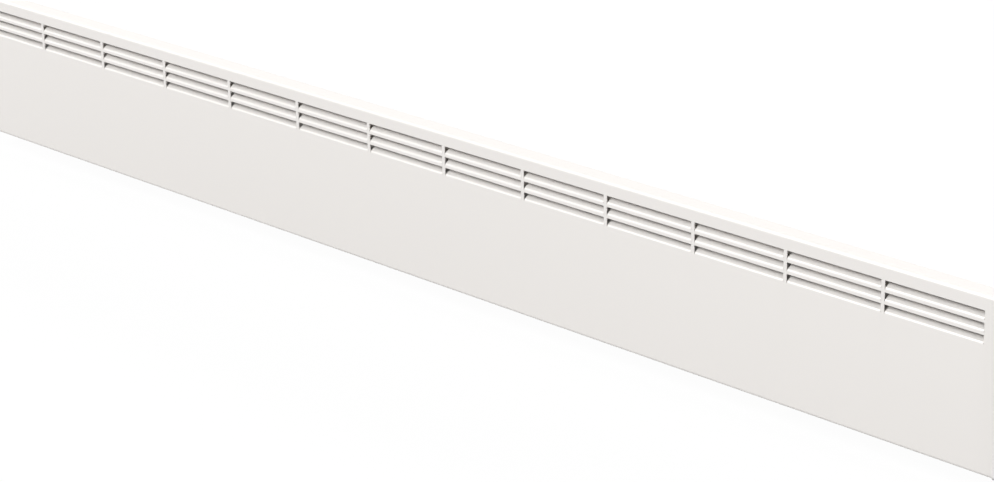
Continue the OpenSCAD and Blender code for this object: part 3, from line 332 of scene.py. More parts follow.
def texture_nodes(w, waves, grain, share, clouds):
    """Outputs of the surface texture, its three scales given per metre."""
    group = shared_group(
        "Surface texture", ["Vector"],
        {"Wave Scale": 500.0, "Grain Scale": 4000.0, "Grain Share": 0.3, "Cloud Scale": 6.0},
        texture_masks)
    inputs = {"Vector": w.object_coordinates(), "Wave Scale": waves, "Grain Scale": grain,
              "Grain Share": share, "Cloud Scale": clouds}
    return w.add("ShaderNodeGroup", inputs, node_tree=group).outputs


def streak_nodes(w, stretched, plain, lines, patches):
    """Outputs of the drawn metal group; stretched and plain squeeze its two vectors, and its two
    scales are given per metre."""
    group = shared_group(
        "Drawn metal", ["Stretched Vector", "Plain Vector"],
        {"Streak Scale": 900.0, "Patch Scale": 60.0}, streak_masks)
    inputs = {"Stretched Vector": w.object_coordinates(stretched),
              "Plain Vector": w.object_coordinates(plain), "Streak Scale": lines, "Patch Scale": patches}
    return w.add("ShaderNodeGroup", inputs, node_tree=group).outputs


def new_material(name, constants=None):
    """A material with a Principled shader on its output, and its wiring. The constants are set on the
    shader's own sockets."""
    material = bpy.data.materials.new(name)
    material.use_nodes = True
    w = Wiring(material.node_tree)
    shader = w.add("ShaderNodeBsdfPrincipled", constants)
    output = w.add("ShaderNodeOutputMaterial")
    w.feed(output, "Surface", shader.outputs["BSDF"])
    return material, w, shader


def bump(w, shader, height, distance):
    """Height 0..1 stands for distance metres of relief."""
    node = w.add("ShaderNodeBump", {"Height": height, "Distance": distance, "Strength": 1.0})
    w.feed(shader, "Normal", node.outputs["Normal"])


def roughen(w, shader, mask, low, high):
    """Roughness from low to high over the middle of a noise mask."""
    w.feed(shader, "Roughness", w.span(mask, 0.3, 0.7, low, high))


def scaled(color, factor):
    return tuple(min(1.0, c * factor) for c in color)


# ---- Finishes ----


def textured(name, color, tones, roughness, scales, level, relief):
    """Material with the surface texture: its clouds run between two tones of the colour, its grain
    between two roughnesses, and its height stands for relief metres."""
    material, w, shader = new_material(name, {"Specular IOR Level": level})
    texture = texture_nodes(w, *scales)
    darker, lighter = tones
    tone = w.blend(texture["Clouds"], scaled(color, darker), scaled(color, lighter))
    w.feed(shader, "Base Color", tone)
    roughen(w, shader, texture["Grain"], *roughness)
    bump(w, shader, texture["Height"], relief)
    return material


def powder_coat(finish):
    """Satin powder coat: orange peel, a fine grit, and clouds of very slightly thinner coat."""
    rough, spread, grit = finish.coat_roughness, 0.05, 0.22 * MM
    return textured(
        "powder_coat", tuple(finish.coat_color), (0.988, 1.006), (rough - spread, rough + spread),
        (1 / finish.peel_size, 1 / grit, 0.22, 4.0), 0.3, finish.peel_depth)


def moulded(name, color, roughness, size, depth, variation, level):
    """Moulded plastic, rubber or ceramic: a spark-eroded grain, with slow flow marks in the colour."""
    spread = 0.06
    return textured(
        name, color, (1 - variation, 1 + variation / 2), (roughness - spread, roughness + spread),
        (1 / size, 3.5 / size, 0.4, 35.0), level, depth)


def metal(name, color, roughness, stretch, streak, tint, patch):
    """Bare or plated metal: streaks along the working direction in roughness and relief, and patches
    of a second tint."""
    material, w, shader = new_material(name, {"Metallic": 1.0})
    lines = streak_nodes(w, stretch, (1.0, 1.0, 1.0), 1 / streak, 1 / patch)
    shaded = w.blend(lines["Streaks"], scaled(color, 0.93), scaled(color, 1.04))
    faint = w.math("MULTIPLY", lines["Patches"], 0.5)
    w.feed(shader, "Base Color", w.blend(faint, shaded, tint))
    rough = w.span(lines["Scratches"], 0.0, 1.0, roughness - 0.07, roughness + 0.1)
    w.feed(shader, "Roughness", rough)
    bump(w, shader, lines["Scratches"], 0.004 * MM)
    return material


def heated_rod(name, color):
    """Sheath of the heating rod: dull steel with straw and blue bands where it has run hot."""
    material, w, shader = new_material(name, {"Metallic": 1.0})
    lines = streak_nodes(w, (0.05, 1.0, 1.0), (0.5, 1.0, 1.0), 1500.0, 14.0)
    straw_color, blue_color = (0.42, 0.31, 0.17), (0.17, 0.19, 0.3)
    straw = w.blend(lines["Patches"], color, straw_color)
    w.feed(shader, "Base Color", w.blend(w.span(lines["Patches"], 0.7, 1.0), straw, blue_color))
    w.feed(shader, "Roughness", w.span(lines["Streaks"], 0.0, 1.0, 0.38, 0.6))
    bump(w, shader, lines["Scratches"], 0.003 * MM)
    return material


def red_lens(name, color):
    """Clear red moulding that light passes through, with faint flow marks."""
    material, w, shader = new_material(name, {"Transmission Weight": 0.3, "IOR": 1.49})
    texture = texture_nodes(w, 700.0, 3000.0, 0.2, 90.0)
    w.feed(shader, "Base Color", w.blend(texture["Clouds"], scaled(color, 0.9), scaled(color, 1.1)))
    roughen(w, shader, texture["Waves"], 0.06, 0.13)
    return material


def striped_sleeve(name, color, stripe):
    """Silicone sleeve of a lead with a second colour in broken stripes along it."""
    material, w, shader = new_material(name)
    texture = texture_nodes(w, 900.0, 5000.0, 0.5, 160.0)
    w.feed(shader, "Base Color", w.blend(w.span(texture["Clouds"], 0.45, 0.55), color, stripe))
    roughen(w, shader, texture["Grain"], 0.42, 0.56)
    bump(w, shader, texture["Height"], 0.01 * MM)
    return material


def make_finishes(finish):
    """One material for each of the record's slots and one for print, by name."""
    color = {slot: tuple(value) for slot, value in SLOT_COLOR.items()}
    color.update(knob_plastic=tuple(finish.knob_color), print=tuple(finish.mark_color))
    brown, green, yellow = color["brown_wire"], color["green_wire"], (0.62, 0.52, 0.06)
    made = {name: moulded(name, color[name], *values) for name, values in MOULDINGS.items()}
    made.update({name: metal(name, color[name], *values) for name, values in METALS.items()})
    made["powder_coat"] = powder_coat(finish)
    made["cap_plastic"] = moulded(
        "cap_plastic", tuple(finish.cap_color), 0.42, finish.spark_size, finish.spark_depth, 0.012, 0.45)
    made["heating_rod"] = heated_rod("heating_rod", color["heating_rod"])
    made["red_lens"] = red_lens("red_lens", color["red_lens"])
    made["brown_wire"] = striped_sleeve("brown_wire", brown, scaled(brown, 0.85))
    made["green_wire"] = striped_sleeve("green_wire", green, yellow)
    return made


# ---- Shapes ----


def put_mesh(name, points, faces, sharp=30.0):
    """A new mesh object in the scene with its place in its mesh, smooth but for edges sharper than
    the given angle in degrees."""
    mesh = bpy.data.meshes.new(name)
    mesh.from_pydata(np.asarray(points, float).reshape(-1, 3).tolist(), [], [list(f) for f in faces])
    mesh.validate()
    mesh.shade_smooth()
    mesh.set_sharp_from_angle(angle=math.radians(sharp))
    made = bpy.data.objects.new(name, mesh)
    bpy.context.scene.collection.objects.link(made)
    return made


def dress(piece, finish_slot, *nodes, body="heater", material=None):
    """Gives a piece its finish, its body and the carried-over nodes that it stands for."""
    piece.data.materials.append(bpy.data.materials[material or finish_slot])
    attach(piece, body)
    if nodes:
        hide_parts(*nodes)


def broken_edges(piece, width):
    """Rounds every edge sharper than 40 degrees over the given width."""
    bevel = piece.modifiers.new("broken edges", "BEVEL")
    bevel.width, bevel.segments, bevel.limit_method = width, 2, "ANGLE"
    bevel.angle_limit = math.radians(40.0)
    bevel.harden_normals = True


def arc_of(corner, ahead, after, radius, steps):
    """Arc that rounds a corner between two directions: centre radius to the inside of the corner,
    set back by radius * tan(turn / 2) along both runs. Gives its points, left-hand normals and the
    setback."""
    turn = math.atan2(ahead[0] * after[1] - ahead[1] * after[0], float(np.dot(ahead, after)))
    side = math.copysign(1.0, turn)
    setback = radius * math.tan(abs(turn) / 2)
    left = np.array([-ahead[1], ahead[0]])
    centre = corner - setback * ahead + side * radius * left
    angle = turn * np.linspace(0.0, 1.0, steps + 1)
    cos, sin = np.cos(angle), np.sin(angle)
    normals = np.stack([left[0] * cos - left[1] * sin, left[0] * sin + left[1] * cos], axis=1)
    return centre - side * radius * normals, normals, setback


def bent_profile(path, radii, steps, guard, cuts=None):
    """Mid-line of a folded sheet as points and left-hand normals: straight runs joined by arcs. A run
    has points at its two ends, a guard length inside them, and at the distances cuts gives for it."""
    path = np.asarray(path, float)
    runs = np.diff(path, axis=0)
    lengths = np.linalg.norm(runs, axis=1)
    ahead = runs / lengths[:, None]
    arcs = {i: arc_of(path[i], ahead[i - 1], ahead[i], radii[i], steps) for i in range(1, len(runs))}
    points, normals = [], []
    for i, direction in enumerate(ahead):
        start = arcs[i][2] if i in arcs else 0.0
        end = lengths[i] - (arcs[i + 1][2] if i + 1 in arcs else 0.0)
        extra = (cuts or {}).get(i, [])
        at = np.unique(np.round(np.concatenate([[start, start + guard, end - guard, end], extra]), 9))
        at = at[(at >= start - 1e-9) & (at <= end + 1e-9)]
        points.append(path[i] + at[:, None] * direction)
        normals.append(np.tile([-direction[1], direction[0]], (len(at), 1)))
        if i + 1 in arcs:
            points.append(arcs[i + 1][0][1:-1])
            normals.append(arcs[i + 1][1][1:-1])
    return np.concatenate(points), np.concatenate(normals)


def rounded_loop(corners, radii, steps, guard):
    """Closed outline whose corners are arcs, with a point a guard length before and after each arc.
    The same corners with other sizes give the same number of points."""
    corners = np.asarray(corners, float)
    runs = np.roll(corners, -1, axis=0) - corners
    ahead = runs / np.linalg.norm(runs, axis=1)[:, None]
    loop = []
    for i, corner in enumerate(corners):
        arc = arc_of(corner, ahead[i - 1], ahead[i], radii[i], steps)[0]
        loop.append(np.concatenate([[arc[0] - guard * ahead[i - 1]], arc, [arc[-1] + guard * ahead[i]]]))
    return np.concatenate(loop)


def grid_quads(ids, closed=False):
    """Quads of a grid of vertex numbers, rows by columns; closed joins the last column to the first."""
    after = np.roll(ids, -1, axis=1) if closed else ids[:, 1:]
    here = ids if closed else ids[:, :-1]
    return np.stack([here[:-1], here[1:], after[1:], after[:-1]], axis=-1).reshape(-1, 4)


def thick_sheet(points, outward, quads, thickness):
    """Solid sheet about a mid surface: each point moved half the thickness along its outward normal
    and half against it, the same faces on both skins, and a wall along every edge of one face."""
    count = len(points)
    skins = np.concatenate([points + outward * thickness / 2, points - outward * thickness / 2])
    edges = np.concatenate([quads[:, [k, (k + 1) % 4]] for k in range(4)])
    ends = np.sort(edges, axis=1)
    _, first, uses = np.unique(ends[:, 0] * count + ends[:, 1], return_index=True, return_counts=True)
    rim = edges[first[uses == 1]]
    walls = np.stack([rim[:, 1], rim[:, 0], rim[:, 0] + count, rim[:, 1] + count], axis=1)
    return skins, np.concatenate([quads, quads[:, ::-1] + count, walls])


class Skin:
    """Collects rings of points, the bands between them and the flat plates that close them."""

    def __init__(self):
        self.points, self.faces, self.count = [], [], 0

    def rings(self, rings, flip=False):
        """A band of quads through rings of equal length, an array of rings by points by 3. Its faces
        point outwards where the rings run anticlockwise about the direction they come from."""
        rings = np.asarray(rings, float)
        ids = self.count + np.arange(rings.shape[0] * rings.shape[1]).reshape(rings.shape[:2])
        self.points.append(rings.reshape(-1, 3))
        self.count += ids.size
        quads = grid_quads(ids, closed=True)
        self.faces.extend((quads[:, ::-1] if flip else quads).tolist())
        return ids

    def plate(self, loops, side):
        """Flat face square to X, inside the first loop of vertex numbers and less the other loops. It
        faces +X where side is 1 and -X where it is -1."""
        points = np.concatenate(self.points)
        flat = [points[loop].tolist() for loop in loops]
        numbers = np.concatenate(loops)
        triangles = numbers[np.array(tessellate_polygon(flat))]
        a, b, c = (points[triangles[:, k]] for k in range(3))
        wrong = np.cross(b - a, c - a)[:, 0] * side < 0
        triangles[wrong] = triangles[wrong][:, ::-1]
        self.faces.extend(triangles.tolist())

    def mesh(self, name, mirror=False, sharp=30.0):
        """The collected faces as an object, mirrored in X if asked, with the bands' seams welded."""
        points = np.concatenate(self.points)
        faces = self.faces
        if mirror:
            points = points * (-1.0, 1.0, 1.0)
            faces = [face[::-1] for face in faces]
        made = put_mesh(name, points, faces, sharp)
        weld = bmesh.new()
        weld.from_mesh(made.data)
        bmesh.ops.remove_doubles(weld, verts=weld.verts, dist=1e-6)
        weld.to_mesh(made.data)
        weld.free()
        made.data.set_sharp_from_angle(angle=math.radians(sharp))
        return made


def capped(rings, side):
    """Skin of one band with a plate on its first ring that faces side, and one on its last ring that
    faces away from it."""
    skin = Skin()
    ids = skin.rings(rings)
    skin.plate([ids[0]], side)
    skin.plate([ids[-1]], -side)
    return skin


def quarter(centre, first, last, steps):
    """Quarter of a circle in the plane, from the first arm out of its centre to the last, which is
    square to it: centre + first * cos(angle) + last * sin(angle)."""
    angle = np.linspace(0.0, math.pi / 2, steps + 1)[:, None]
    return np.array(centre) + np.array(first) * np.cos(angle) + np.array(last) * np.sin(angle)


def full_turn(steps):
    """Angles once round, without the last."""
    return np.linspace(0.0, 2 * math.pi, steps, endpoint=False)


def circle(radius, steps):
    """Points round a circle in the plane."""
    turn = full_turn(steps)
    return radius * np.column_stack([np.cos(turn), np.sin(turn)])


def rectangle(low, high):
    """Corners of a rectangle in the plane, anticlockwise from its lowest one."""
    (x0, y0), (x1, y1) = low, high
    return np.array([(x0, y0), (x1, y0), (x1, y1), (x0, y1)])


def fade(value, start, width):
    """0 up to the start, then rising evenly to 1 over the given width."""
    return np.clip((value - start) / width, 0.0, 1.0)


def middle_of(box):
    """Middle of a box in Y and Z."""
    low, high = box
    return np.array([(low.y + high.y) / 2, (low.z + high.z) / 2])


# ---- Operators ----


class HEATER_OT_finishes(bpy.types.Operator):
    """Makes the finishes and gives every carried-over piece the one its slot names."""

    bl_idname = "heater.finishes"
    bl_label = "Finishes"

    def execute(self, context):
        made = make_finishes(context.scene.heater_finish)
        for name, piece in frame["nodes"].items():
            for slot in piece.material_slots:
                slot.material = made[NODE_SLOT[name]]
        return {"FINISHED"}


class HEATER_OT_front_panel(bpy.types.Operator):
    """Folded front sheet with its rows of lanced louvres. The mid surface is the bent profile carried
    along X on a grid of profile points by window edges; the cells inside windows are left out, and
    each blade is a short bent profile that starts from its window's lower edge."""

    bl_idname = "heater.front_panel"
    bl_label = "Front panel"

    def execute(self, context):
        form = context.scene.heater_form
        low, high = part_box("front_cover")
        half = form.sheet / 2
        front, top, base = low.y + half, high.z - half, low.z + half
        path = [(high.y - half, high.z - form.step), (high.y - half, top), (front, top), (front, base),
                (low.y + form.return_depth, base)]
        radii = [0.0, form.bend - half, form.front_bend - half, form.front_bend - half, 0.0]
        upper = form.first_window - half + np.arange(form.louvre_rows) * form.row_pitch
        lower = upper + form.window_height
        profile, inward = bent_profile(path, radii, 12, GUARD, {2: np.concatenate([upper, lower])})

        # Four edges to a window: the two sides of the slit at its left, and of the one at its right
        left = low.x + form.end_margin + np.arange(form.louvre_groups) * form.louvre_pitch
        wide = form.louvre_pitch - form.divider
        edges = left[:, None] + np.array([0.0, form.slit, wide - form.slit, wide])
        columns = np.concatenate([[low.x], edges.ravel(), [high.x]])
        shape = (len(profile), len(columns))
        points, outward = np.empty((*shape, 3)), np.zeros((*shape, 3))
        points[..., 0] = columns
        points[..., 1:] = profile[:, None]
        outward[..., 1:] = -inward[:, None]
        ids = np.arange(points.size // 3).reshape(shape)

        # Cells outside the windows: a window runs from its upper row to its lower one, and every
        # fourth column of cells, from the first on, is plain sheet
        on_front = np.abs(profile[:, 0] - front) < 1e-7
        drop = np.where(on_front, top - profile[:, 1], -1.0)
        first_row = np.abs(drop[:, None] - upper).argmin(axis=0)
        last_row = np.abs(drop[:, None] - lower).argmin(axis=0)
        row, column = np.arange(shape[0] - 1), np.arange(shape[1] - 1)
        open_row = ((row[:, None] >= first_row) & (row[:, None] < last_row)).any(axis=1)
        open_column = column % 4 != 0
        kept = ~(open_row[:, None] & open_column)
        quads = grid_quads(ids)[kept.ravel()]

        # Blades: each row of new points joined to the one before, from the window's lower edge on
        blade, blade_out = self.blade(form)
        number = (form.louvre_groups, form.louvre_rows, len(blade), 2)
        spread, facing = np.empty((*number, 3)), np.zeros((*number, 3))
        spread[..., 0] = edges[:, None, None, 1:3]
        spread[..., 1] = front + blade[:, None, 0]
        spread[..., 2] = (top - lower)[:, None, None] + blade[:, None, 1]
        facing[..., 1:] = blade_out[:, None]
        first_column = 1 + 4 * np.arange(form.louvre_groups)
        root = ids[last_row[None, :, None], first_column[:, None, None] + np.array([1, 2])]
        added = ids.size + np.arange(spread.size // 3).reshape(number)
        strip = np.concatenate([root[:, :, None], added], axis=2)
        here, after = strip[:, :, :-1], strip[:, :, 1:]
        blade_quads = np.stack([here[..., 0], here[..., 1], after[..., 1], after[..., 0]], axis=-1)

        skins, faces = thick_sheet(
            np.concatenate([points.reshape(-1, 3), spread.reshape(-1, 3)]),
            np.concatenate([outward.reshape(-1, 3), facing.reshape(-1, 3)]),
            np.concatenate([quads, blade_quads.reshape(-1, 4)]), form.sheet)
        panel = put_mesh("front_panel", skins, faces)
        broken_edges(panel, form.broken_edge)
        dress(panel, "powder_coat", "front_cover")
        return {"FINISHED"}

    def blade(self, form):
        """Mid-line of a blade and its normals, from just above the window's lower edge: a bend, then
        a straight run that makes the whole as long as the window is high, less the slit."""
        radius = form.blade_bend - form.sheet / 2
        turn = math.pi / 2 - form.blade_angle
        setback = radius * math.tan(turn / 2)
        reach = form.window_height - form.slit - radius * turn + setback
        tip = (reach * math.sin(turn), setback + reach * math.cos(turn))
        path = [(0.0, 0.0), (0.0, setback), tip]
        line, out = bent_profile(path, [0.0, radius, 0.0], 8, GUARD / 2)
        return line[1:], out[1:]


def casing_loop(form, growth, lap):
    """Outline of the casing's end in Y and Z, grown by growth, its underside and its step moved in by
    lap; the sloping roof is moved at right angles to itself."""
    low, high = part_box("front_cover")
    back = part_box("rear_casing")[1].y - form.bead
    front, step, base, top = low.y, high.y, low.z, high.z
    half = form.sheet / 2
    roof_back, roof_front = top - form.roof_back_drop, top - form.roof_front_drop
    slope = (roof_front - roof_back) / (back - step + form.sheet)
    rise = math.hypot(1.0, slope)

    def roof(y):
        return roof_back + slope * (back - half - y) + (growth + half) * rise

    inner = step + growth - lap
    corners = [(front - growth, base - growth + lap), (back + growth, base - growth + lap),
               (back + growth, roof(back + growth)), (inner, roof(inner)),
               (inner, top + growth), (front - growth, top + growth)]
    radii = np.array([form.front_bend] + [form.bend] * 4 + [form.front_bend])
    radii = radii + growth * np.array([1, 1, 1, -1, 1, 1])
    return rounded_loop(corners, np.maximum(radii, 0.5 * MM), CORNER_STEPS, GUARD)


def pocket_loop(form, grow):
    """Rounded rectangle of the control pocket, grown by grow."""
    low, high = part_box("front_cover")
    centre = np.array([form.control_y, (low.z + high.z) / 2])
    half = np.array([form.pocket_width, form.pocket_height]) / 2 + grow
    corners = rectangle(centre - half, centre + half)
    return rounded_loop(corners, [form.pocket_corner + grow] * 4, CORNER_STEPS, GUARD)


def ring_at(x, loop):
    return np.column_stack([np.full(len(loop), x), loop])


def cap_band(form):
    """Section of a cap's wall as rows of X from the casing's end, growth and lap: face, rounded edge,
    side, lip, then the spigot's outside, its end and its inside."""
    edge, lip = form.cap_edge, 0.35 * MM
    proud, depth = form.cap_proud, form.cap_depth
    spigot = -form.sheet - form.fit_gap
    outer = np.concatenate([
        [(depth, proud - edge - GUARD)],
        quarter((depth - edge, proud - edge), (edge, 0.0), (0.0, edge), 12),
        [(depth - edge - GUARD, proud), (lip + GUARD, proud)],
        quarter((lip, proud - lip), (0.0, lip), (-lip, 0.0), 4),
        [(0.0, 0.0)]])
    inner = [(0.0, spigot), (-form.spigot, spigot), (-form.spigot, spigot - form.cap_wall),
             (depth - form.cap_wall - form.sheet, spigot - form.cap_wall)]
    laps = np.concatenate([np.zeros(len(outer)), np.full(len(inner), form.sheet)])
    return np.column_stack([np.concatenate([outer, inner]), laps])


def cap_rings(form, end):
    """Rings of a cap's wall, carried round the casing's outline."""
    return [ring_at(end + x, casing_loop(form, growth, lap)) for x, growth, lap in cap_band(form)]


class HEATER_OT_caps(bpy.types.Operator):
    """Moulded end caps: a wall section carried round the casing's outline, closed by flat faces. The
    right one has the control pocket sunk in it, with a rounded rim and a filleted floor."""

    bl_idname = "heater.caps"
    bl_label = "End caps"

    def execute(self, context):
        form = context.scene.heater_form
        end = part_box("front_cover")[1].x
        left = capped(cap_rings(form, end), 1)
        dress(left.mesh("end_cap_left_shell", mirror=True), "cap_plastic", "end_cap_left")
        right = self.right_cap(form, end)
        dress(right.mesh("end_cap_right_shell"), "cap_plastic", "end_cap_right")
        return {"FINISHED"}

    def right_cap(self, form, end):
        """Skin of the right cap: the wall, the pocket's wall and floor, the switch's hole in the floor
        and the pocket's housing inside the casing."""
        skin = Skin()
        ids = skin.rings(cap_rings(form, end))
        face = end + form.cap_depth
        floor = face - form.pocket_depth
        under = floor - form.pocket_floor
        rim, fillet = 1.0 * MM, 0.9 * MM
        section = np.concatenate([
            [(face, rim + GUARD)],
            quarter((face - rim, rim), (rim, 0.0), (0.0, -rim), 8),
            [(face - rim - GUARD, 0.0), (floor + fillet + GUARD, 0.0)],
            quarter((floor + fillet, -fillet), (0.0, fillet), (-fillet, 0.0), 8),
            [(floor, -fillet - GUARD)]])
        pocket = skin.rings([ring_at(x, pocket_loop(form, grow)) for x, grow in section], flip=True)
        low, high = np.array(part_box("switch_body"))[:, 1:]
        flange, corner = 1.2 * MM - form.fit_gap, 0.3 * MM
        hole = rounded_loop(rectangle(low + flange, high - flange), [corner] * 4, 2, GUARD / 4)
        switch = skin.rings([ring_at(floor, hole), ring_at(under, hole)], flip=True)
        inside = ids[-1]
        depth = np.concatenate(skin.points)[inside[0], 0]
        housing = skin.rings([ring_at(x, pocket_loop(form, form.cap_wall)) for x in (depth, under)])
        skin.plate([ids[0], pocket[0]], 1)
        skin.plate([pocket[-1], switch[0]], 1)
        skin.plate([inside, housing[0]], -1)
        skin.plate([housing[1], switch[1]], -1)
        return skin


def turned(profile, centre, turns=96):
    """Rings of a turned piece about an axis along X: profile rows are X and radius, and the ring
    starts upwards and runs clockwise seen from +X."""
    angle = full_turn(turns)
    x, radius = np.asarray(profile, float).T
    return np.stack([
        np.broadcast_to(x[:, None], (len(x), turns)),
        centre[0] + radius[:, None] * np.sin(angle),
        centre[1] + radius[:, None] * np.cos(angle)], axis=-1)


class HEATER_OT_controls(bpy.types.Operator):
    """Thermostat knob, its pointer line, the pilot lens and the rocker with broken edges."""

    bl_idname = "heater.controls"
    bl_label = "Controls"

    def execute(self, context):
        form = context.scene.heater_form
        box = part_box("thermostat_knob")
        base, centre = box[0].x, middle_of(box)
        groove = form.knob_height - 1.2 * MM
        knob = capped(self.knob_rings(form, base, centre, groove), -1)
        dress(knob.mesh("control_knob", sharp=38.0), "knob_plastic", "thermostat_knob", body="thermostat")
        pointer = capped(self.pointer_rings(base + groove, centre), 1)
        dress(pointer.mesh("knob_pointer"), "knob_plastic", body="thermostat", material="print")
        lens = capped(self.lens_rings(), -1)
        dress(lens.mesh("pilot_lens"), "red_lens", "pilot_lamp")
        edges = {"switch_rocker": ("rocker", 0.35 * MM), "switch_body": ("heater", 0.3 * MM)}
        for node, (body, width) in edges.items():
            piece = merged_copy(node)
            broken_edges(piece, width)
            dress(piece, "dark_plastic", node, body=body)
        return {"FINISHED"}

    def knob_profile(self, form, drum, taper, skirt, dish):
        """Profile of the knob without flutes, from the bottom of its bore round to the dish: rows of X
        from the knob's base, and radius. The dish is part of a sphere."""
        height, wide = form.knob_height, form.knob_radius
        tip, bore, hub, wall, foot = 0.02 * MM, 3.05 * MM, 5.5 * MM, 2.0 * MM, 0.3 * MM
        bore_end, hollow = height - 3.0 * MM, 5.0 * MM
        edge, soft, sphere = 0.9 * MM, 0.5 * MM, 40.0 * MM
        top = drum - taper
        rise = np.linspace(skirt + 0.6 * MM, height - edge, 8)
        flat = np.linspace(top - edge, dish, 9)[1:]
        bowl = np.linspace(dish, PINHOLE, 16)[1:]
        depth = math.sqrt(sphere ** 2 - dish ** 2) - np.sqrt(sphere ** 2 - bowl ** 2)
        return np.concatenate([
            [(bore_end, tip), (bore_end, bore), (0.0, bore), (0.0, hub), (hollow, hub),
             (hollow, wide - wall), (0.0, wide - wall), (0.0, wide - foot), (foot, wide),
             (skirt - soft - foot, wide)],
            quarter((skirt - soft, wide - soft), (0.0, soft), (soft, 0.0), 6),
            [(skirt, drum + 0.5 * MM), (skirt + 0.1 * MM, drum + 0.1 * MM)],
            np.column_stack([rise, drum - taper * rise / height]),
            quarter((height - edge, top - edge), (0.0, edge), (edge, 0.0), 6),
            np.column_stack([np.full(len(flat), height), flat]),
            np.column_stack([height + depth, bowl])])

    def knob_rings(self, form, base, centre, groove):
        """Rings of the fluted knob. A ring's radius is the profile's, less the depth of the nearest
        flute there: the drum's radius minus the near side of a circle whose centre lies on the drum,
        faded out towards the dish. The pointer's groove lowers the top to a level floor where the
        distance from the pointer's line is under half its width."""
        drum, taper, skirt, dish = form.knob_radius - 1.5 * MM, 1.0 * MM, 3.0 * MM, 8.9 * MM
        groove_half, groove_slope, groove_start, groove_run = 0.65 * MM, 0.3 * MM, 3.8 * MM, 0.4 * MM
        steps_in_flute = 18
        height, flute = form.knob_height, form.flute_radius
        profile = self.knob_profile(form, drum, taper, skirt, dish)
        turns = form.knob_flutes * steps_in_flute
        rings = turned(profile + (base, 0.0), centre, turns)
        angle = full_turn(turns)
        spacing = 2 * math.pi / form.knob_flutes
        off = (angle + spacing / 2) % spacing - spacing / 2
        across = drum * np.sin(off)
        near = drum * np.cos(off) - np.sqrt(np.maximum(flute ** 2 - across ** 2, 0.0))
        x, radius = profile.T
        wall = drum - taper * np.clip(x, 0.0, height) / height
        sunk = np.where(np.abs(across) < flute, wall[:, None] - near, 0.0)
        kept = fade(x, skirt + 0.05 * MM, 0.5 * MM) * fade(radius, dish, drum - taper - dish)
        fluted = radius[:, None] - np.maximum(sunk, 0.0) * kept[:, None]
        rings[..., 1] = centre[0] + fluted * np.sin(angle)
        rings[..., 2] = centre[1] + fluted * np.cos(angle)
        beside = np.abs(fluted * np.sin(angle))
        inside = (1.0 - fade(beside, groove_half, groove_slope)) * (np.cos(angle) > 0)
        inside *= fade(fluted, groove_start, groove_run)
        level = rings[..., 0] - base
        on_top = (x > groove)[:, None]
        rings[..., 0] = base + np.where(on_top, level + inside * (groove - level), level)
        return rings

    def pointer_rings(self, level, centre):
        """Upper and lower outline of the pointer's line, which lies on the groove's floor."""
        half, start, end, corner = 0.5 * MM, 4.6 * MM, 12.4 * MM, 0.45 * MM
        above, below = 0.25 * MM, 0.2 * MM
        corners = centre + rectangle((-half, start), (half, end))
        line = rounded_loop(corners, [corner] * 4, 4, GUARD / 20)
        return [ring_at(level + above, line), ring_at(level - below, line)]

    def lens_rings(self):
        """Rings of the pilot lens: its barrel in the cap, a flange on the pocket's floor and a dome
        that is part of a sphere."""
        low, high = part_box("pilot_lamp")
        lens, flange, soft, sphere = 4.0 * MM, 5.0 * MM, 0.4 * MM, 6.4 * MM
        start, floor = low.x + 4.0 * MM, high.x - 3.6 * MM
        edge, neck = floor + 0.8 * MM, floor + 2.1 * MM
        across = np.linspace(lens - 0.15 * MM, PINHOLE, 14)
        crown = high.x - sphere + np.sqrt(sphere ** 2 - across ** 2)
        return turned(np.concatenate([
            [(start, PINHOLE), (start, lens), (floor - 0.02 * MM, lens), (floor, flange), (edge, flange)],
            quarter((edge, flange - soft), (0.0, soft), (soft, 0.0), 4),
            [(edge + soft, lens + 0.1 * MM), (edge + soft + 0.1 * MM, lens), (neck, lens)],
            np.column_stack([crown, across])]), middle_of((low, high)))


def merged_copy(node):
    """A copy of a carried-over node with its doubles merged and its flat faces joined."""
    source = frame["nodes"][node]
    made = bpy.data.objects.new(node + "_soft", source.data.copy())
    bpy.context.scene.collection.objects.link(made)
    made.data.materials.clear()
    work = bmesh.new()
    work.from_mesh(made.data)
    bmesh.ops.remove_doubles(work, verts=work.verts, dist=2e-6)
    bmesh.ops.dissolve_limit(work, angle_limit=math.radians(1.0), verts=work.verts, edges=work.edges)
    work.to_mesh(made.data)
    work.free()
    if made.data.has_custom_normals:
        made.data.attributes.remove(made.data.attributes["custom_normal"])
    made.data.shade_smooth()
    made.data.set_sharp_from_angle(angle=math.radians(30.0))
    return made


def lettering(text, size):
    """Flat shapes of a line of generic characters as points in the plane, centred, and faces."""
    curve = bpy.data.curves.new("characters", "FONT")
    curve.body, curve.size = text, size
    curve.align_x, curve.align_y = "CENTER", "CENTER"
    curve.resolution_u = 6
    holder = bpy.data.objects.new("characters", curve)
    bpy.context.scene.collection.objects.link(holder)
    mesh = holder.to_mesh()
    points = np.empty(len(mesh.vertices) * 3)
    mesh.vertices.foreach_get("co", points)
    faces = [tuple(face.vertices) for face in mesh.polygons]
    holder.to_mesh_clear()
    bpy.data.objects.remove(holder)
    bpy.data.curves.remove(curve)
    points = points.reshape(-1, 3)[:, :2]
    return points - (points.min(axis=0) + points.max(axis=0)) / 2, faces


def joined(shapes):
    """Points and faces of several flat shapes as those of one."""
    starts = np.cumsum([0] + [len(points) for points, _ in shapes])
    faces = [[int(start + i) for i in face] for start, (_, part) in zip(starts, shapes) for face in part]
    return np.concatenate([points for points, _ in shapes]), faces


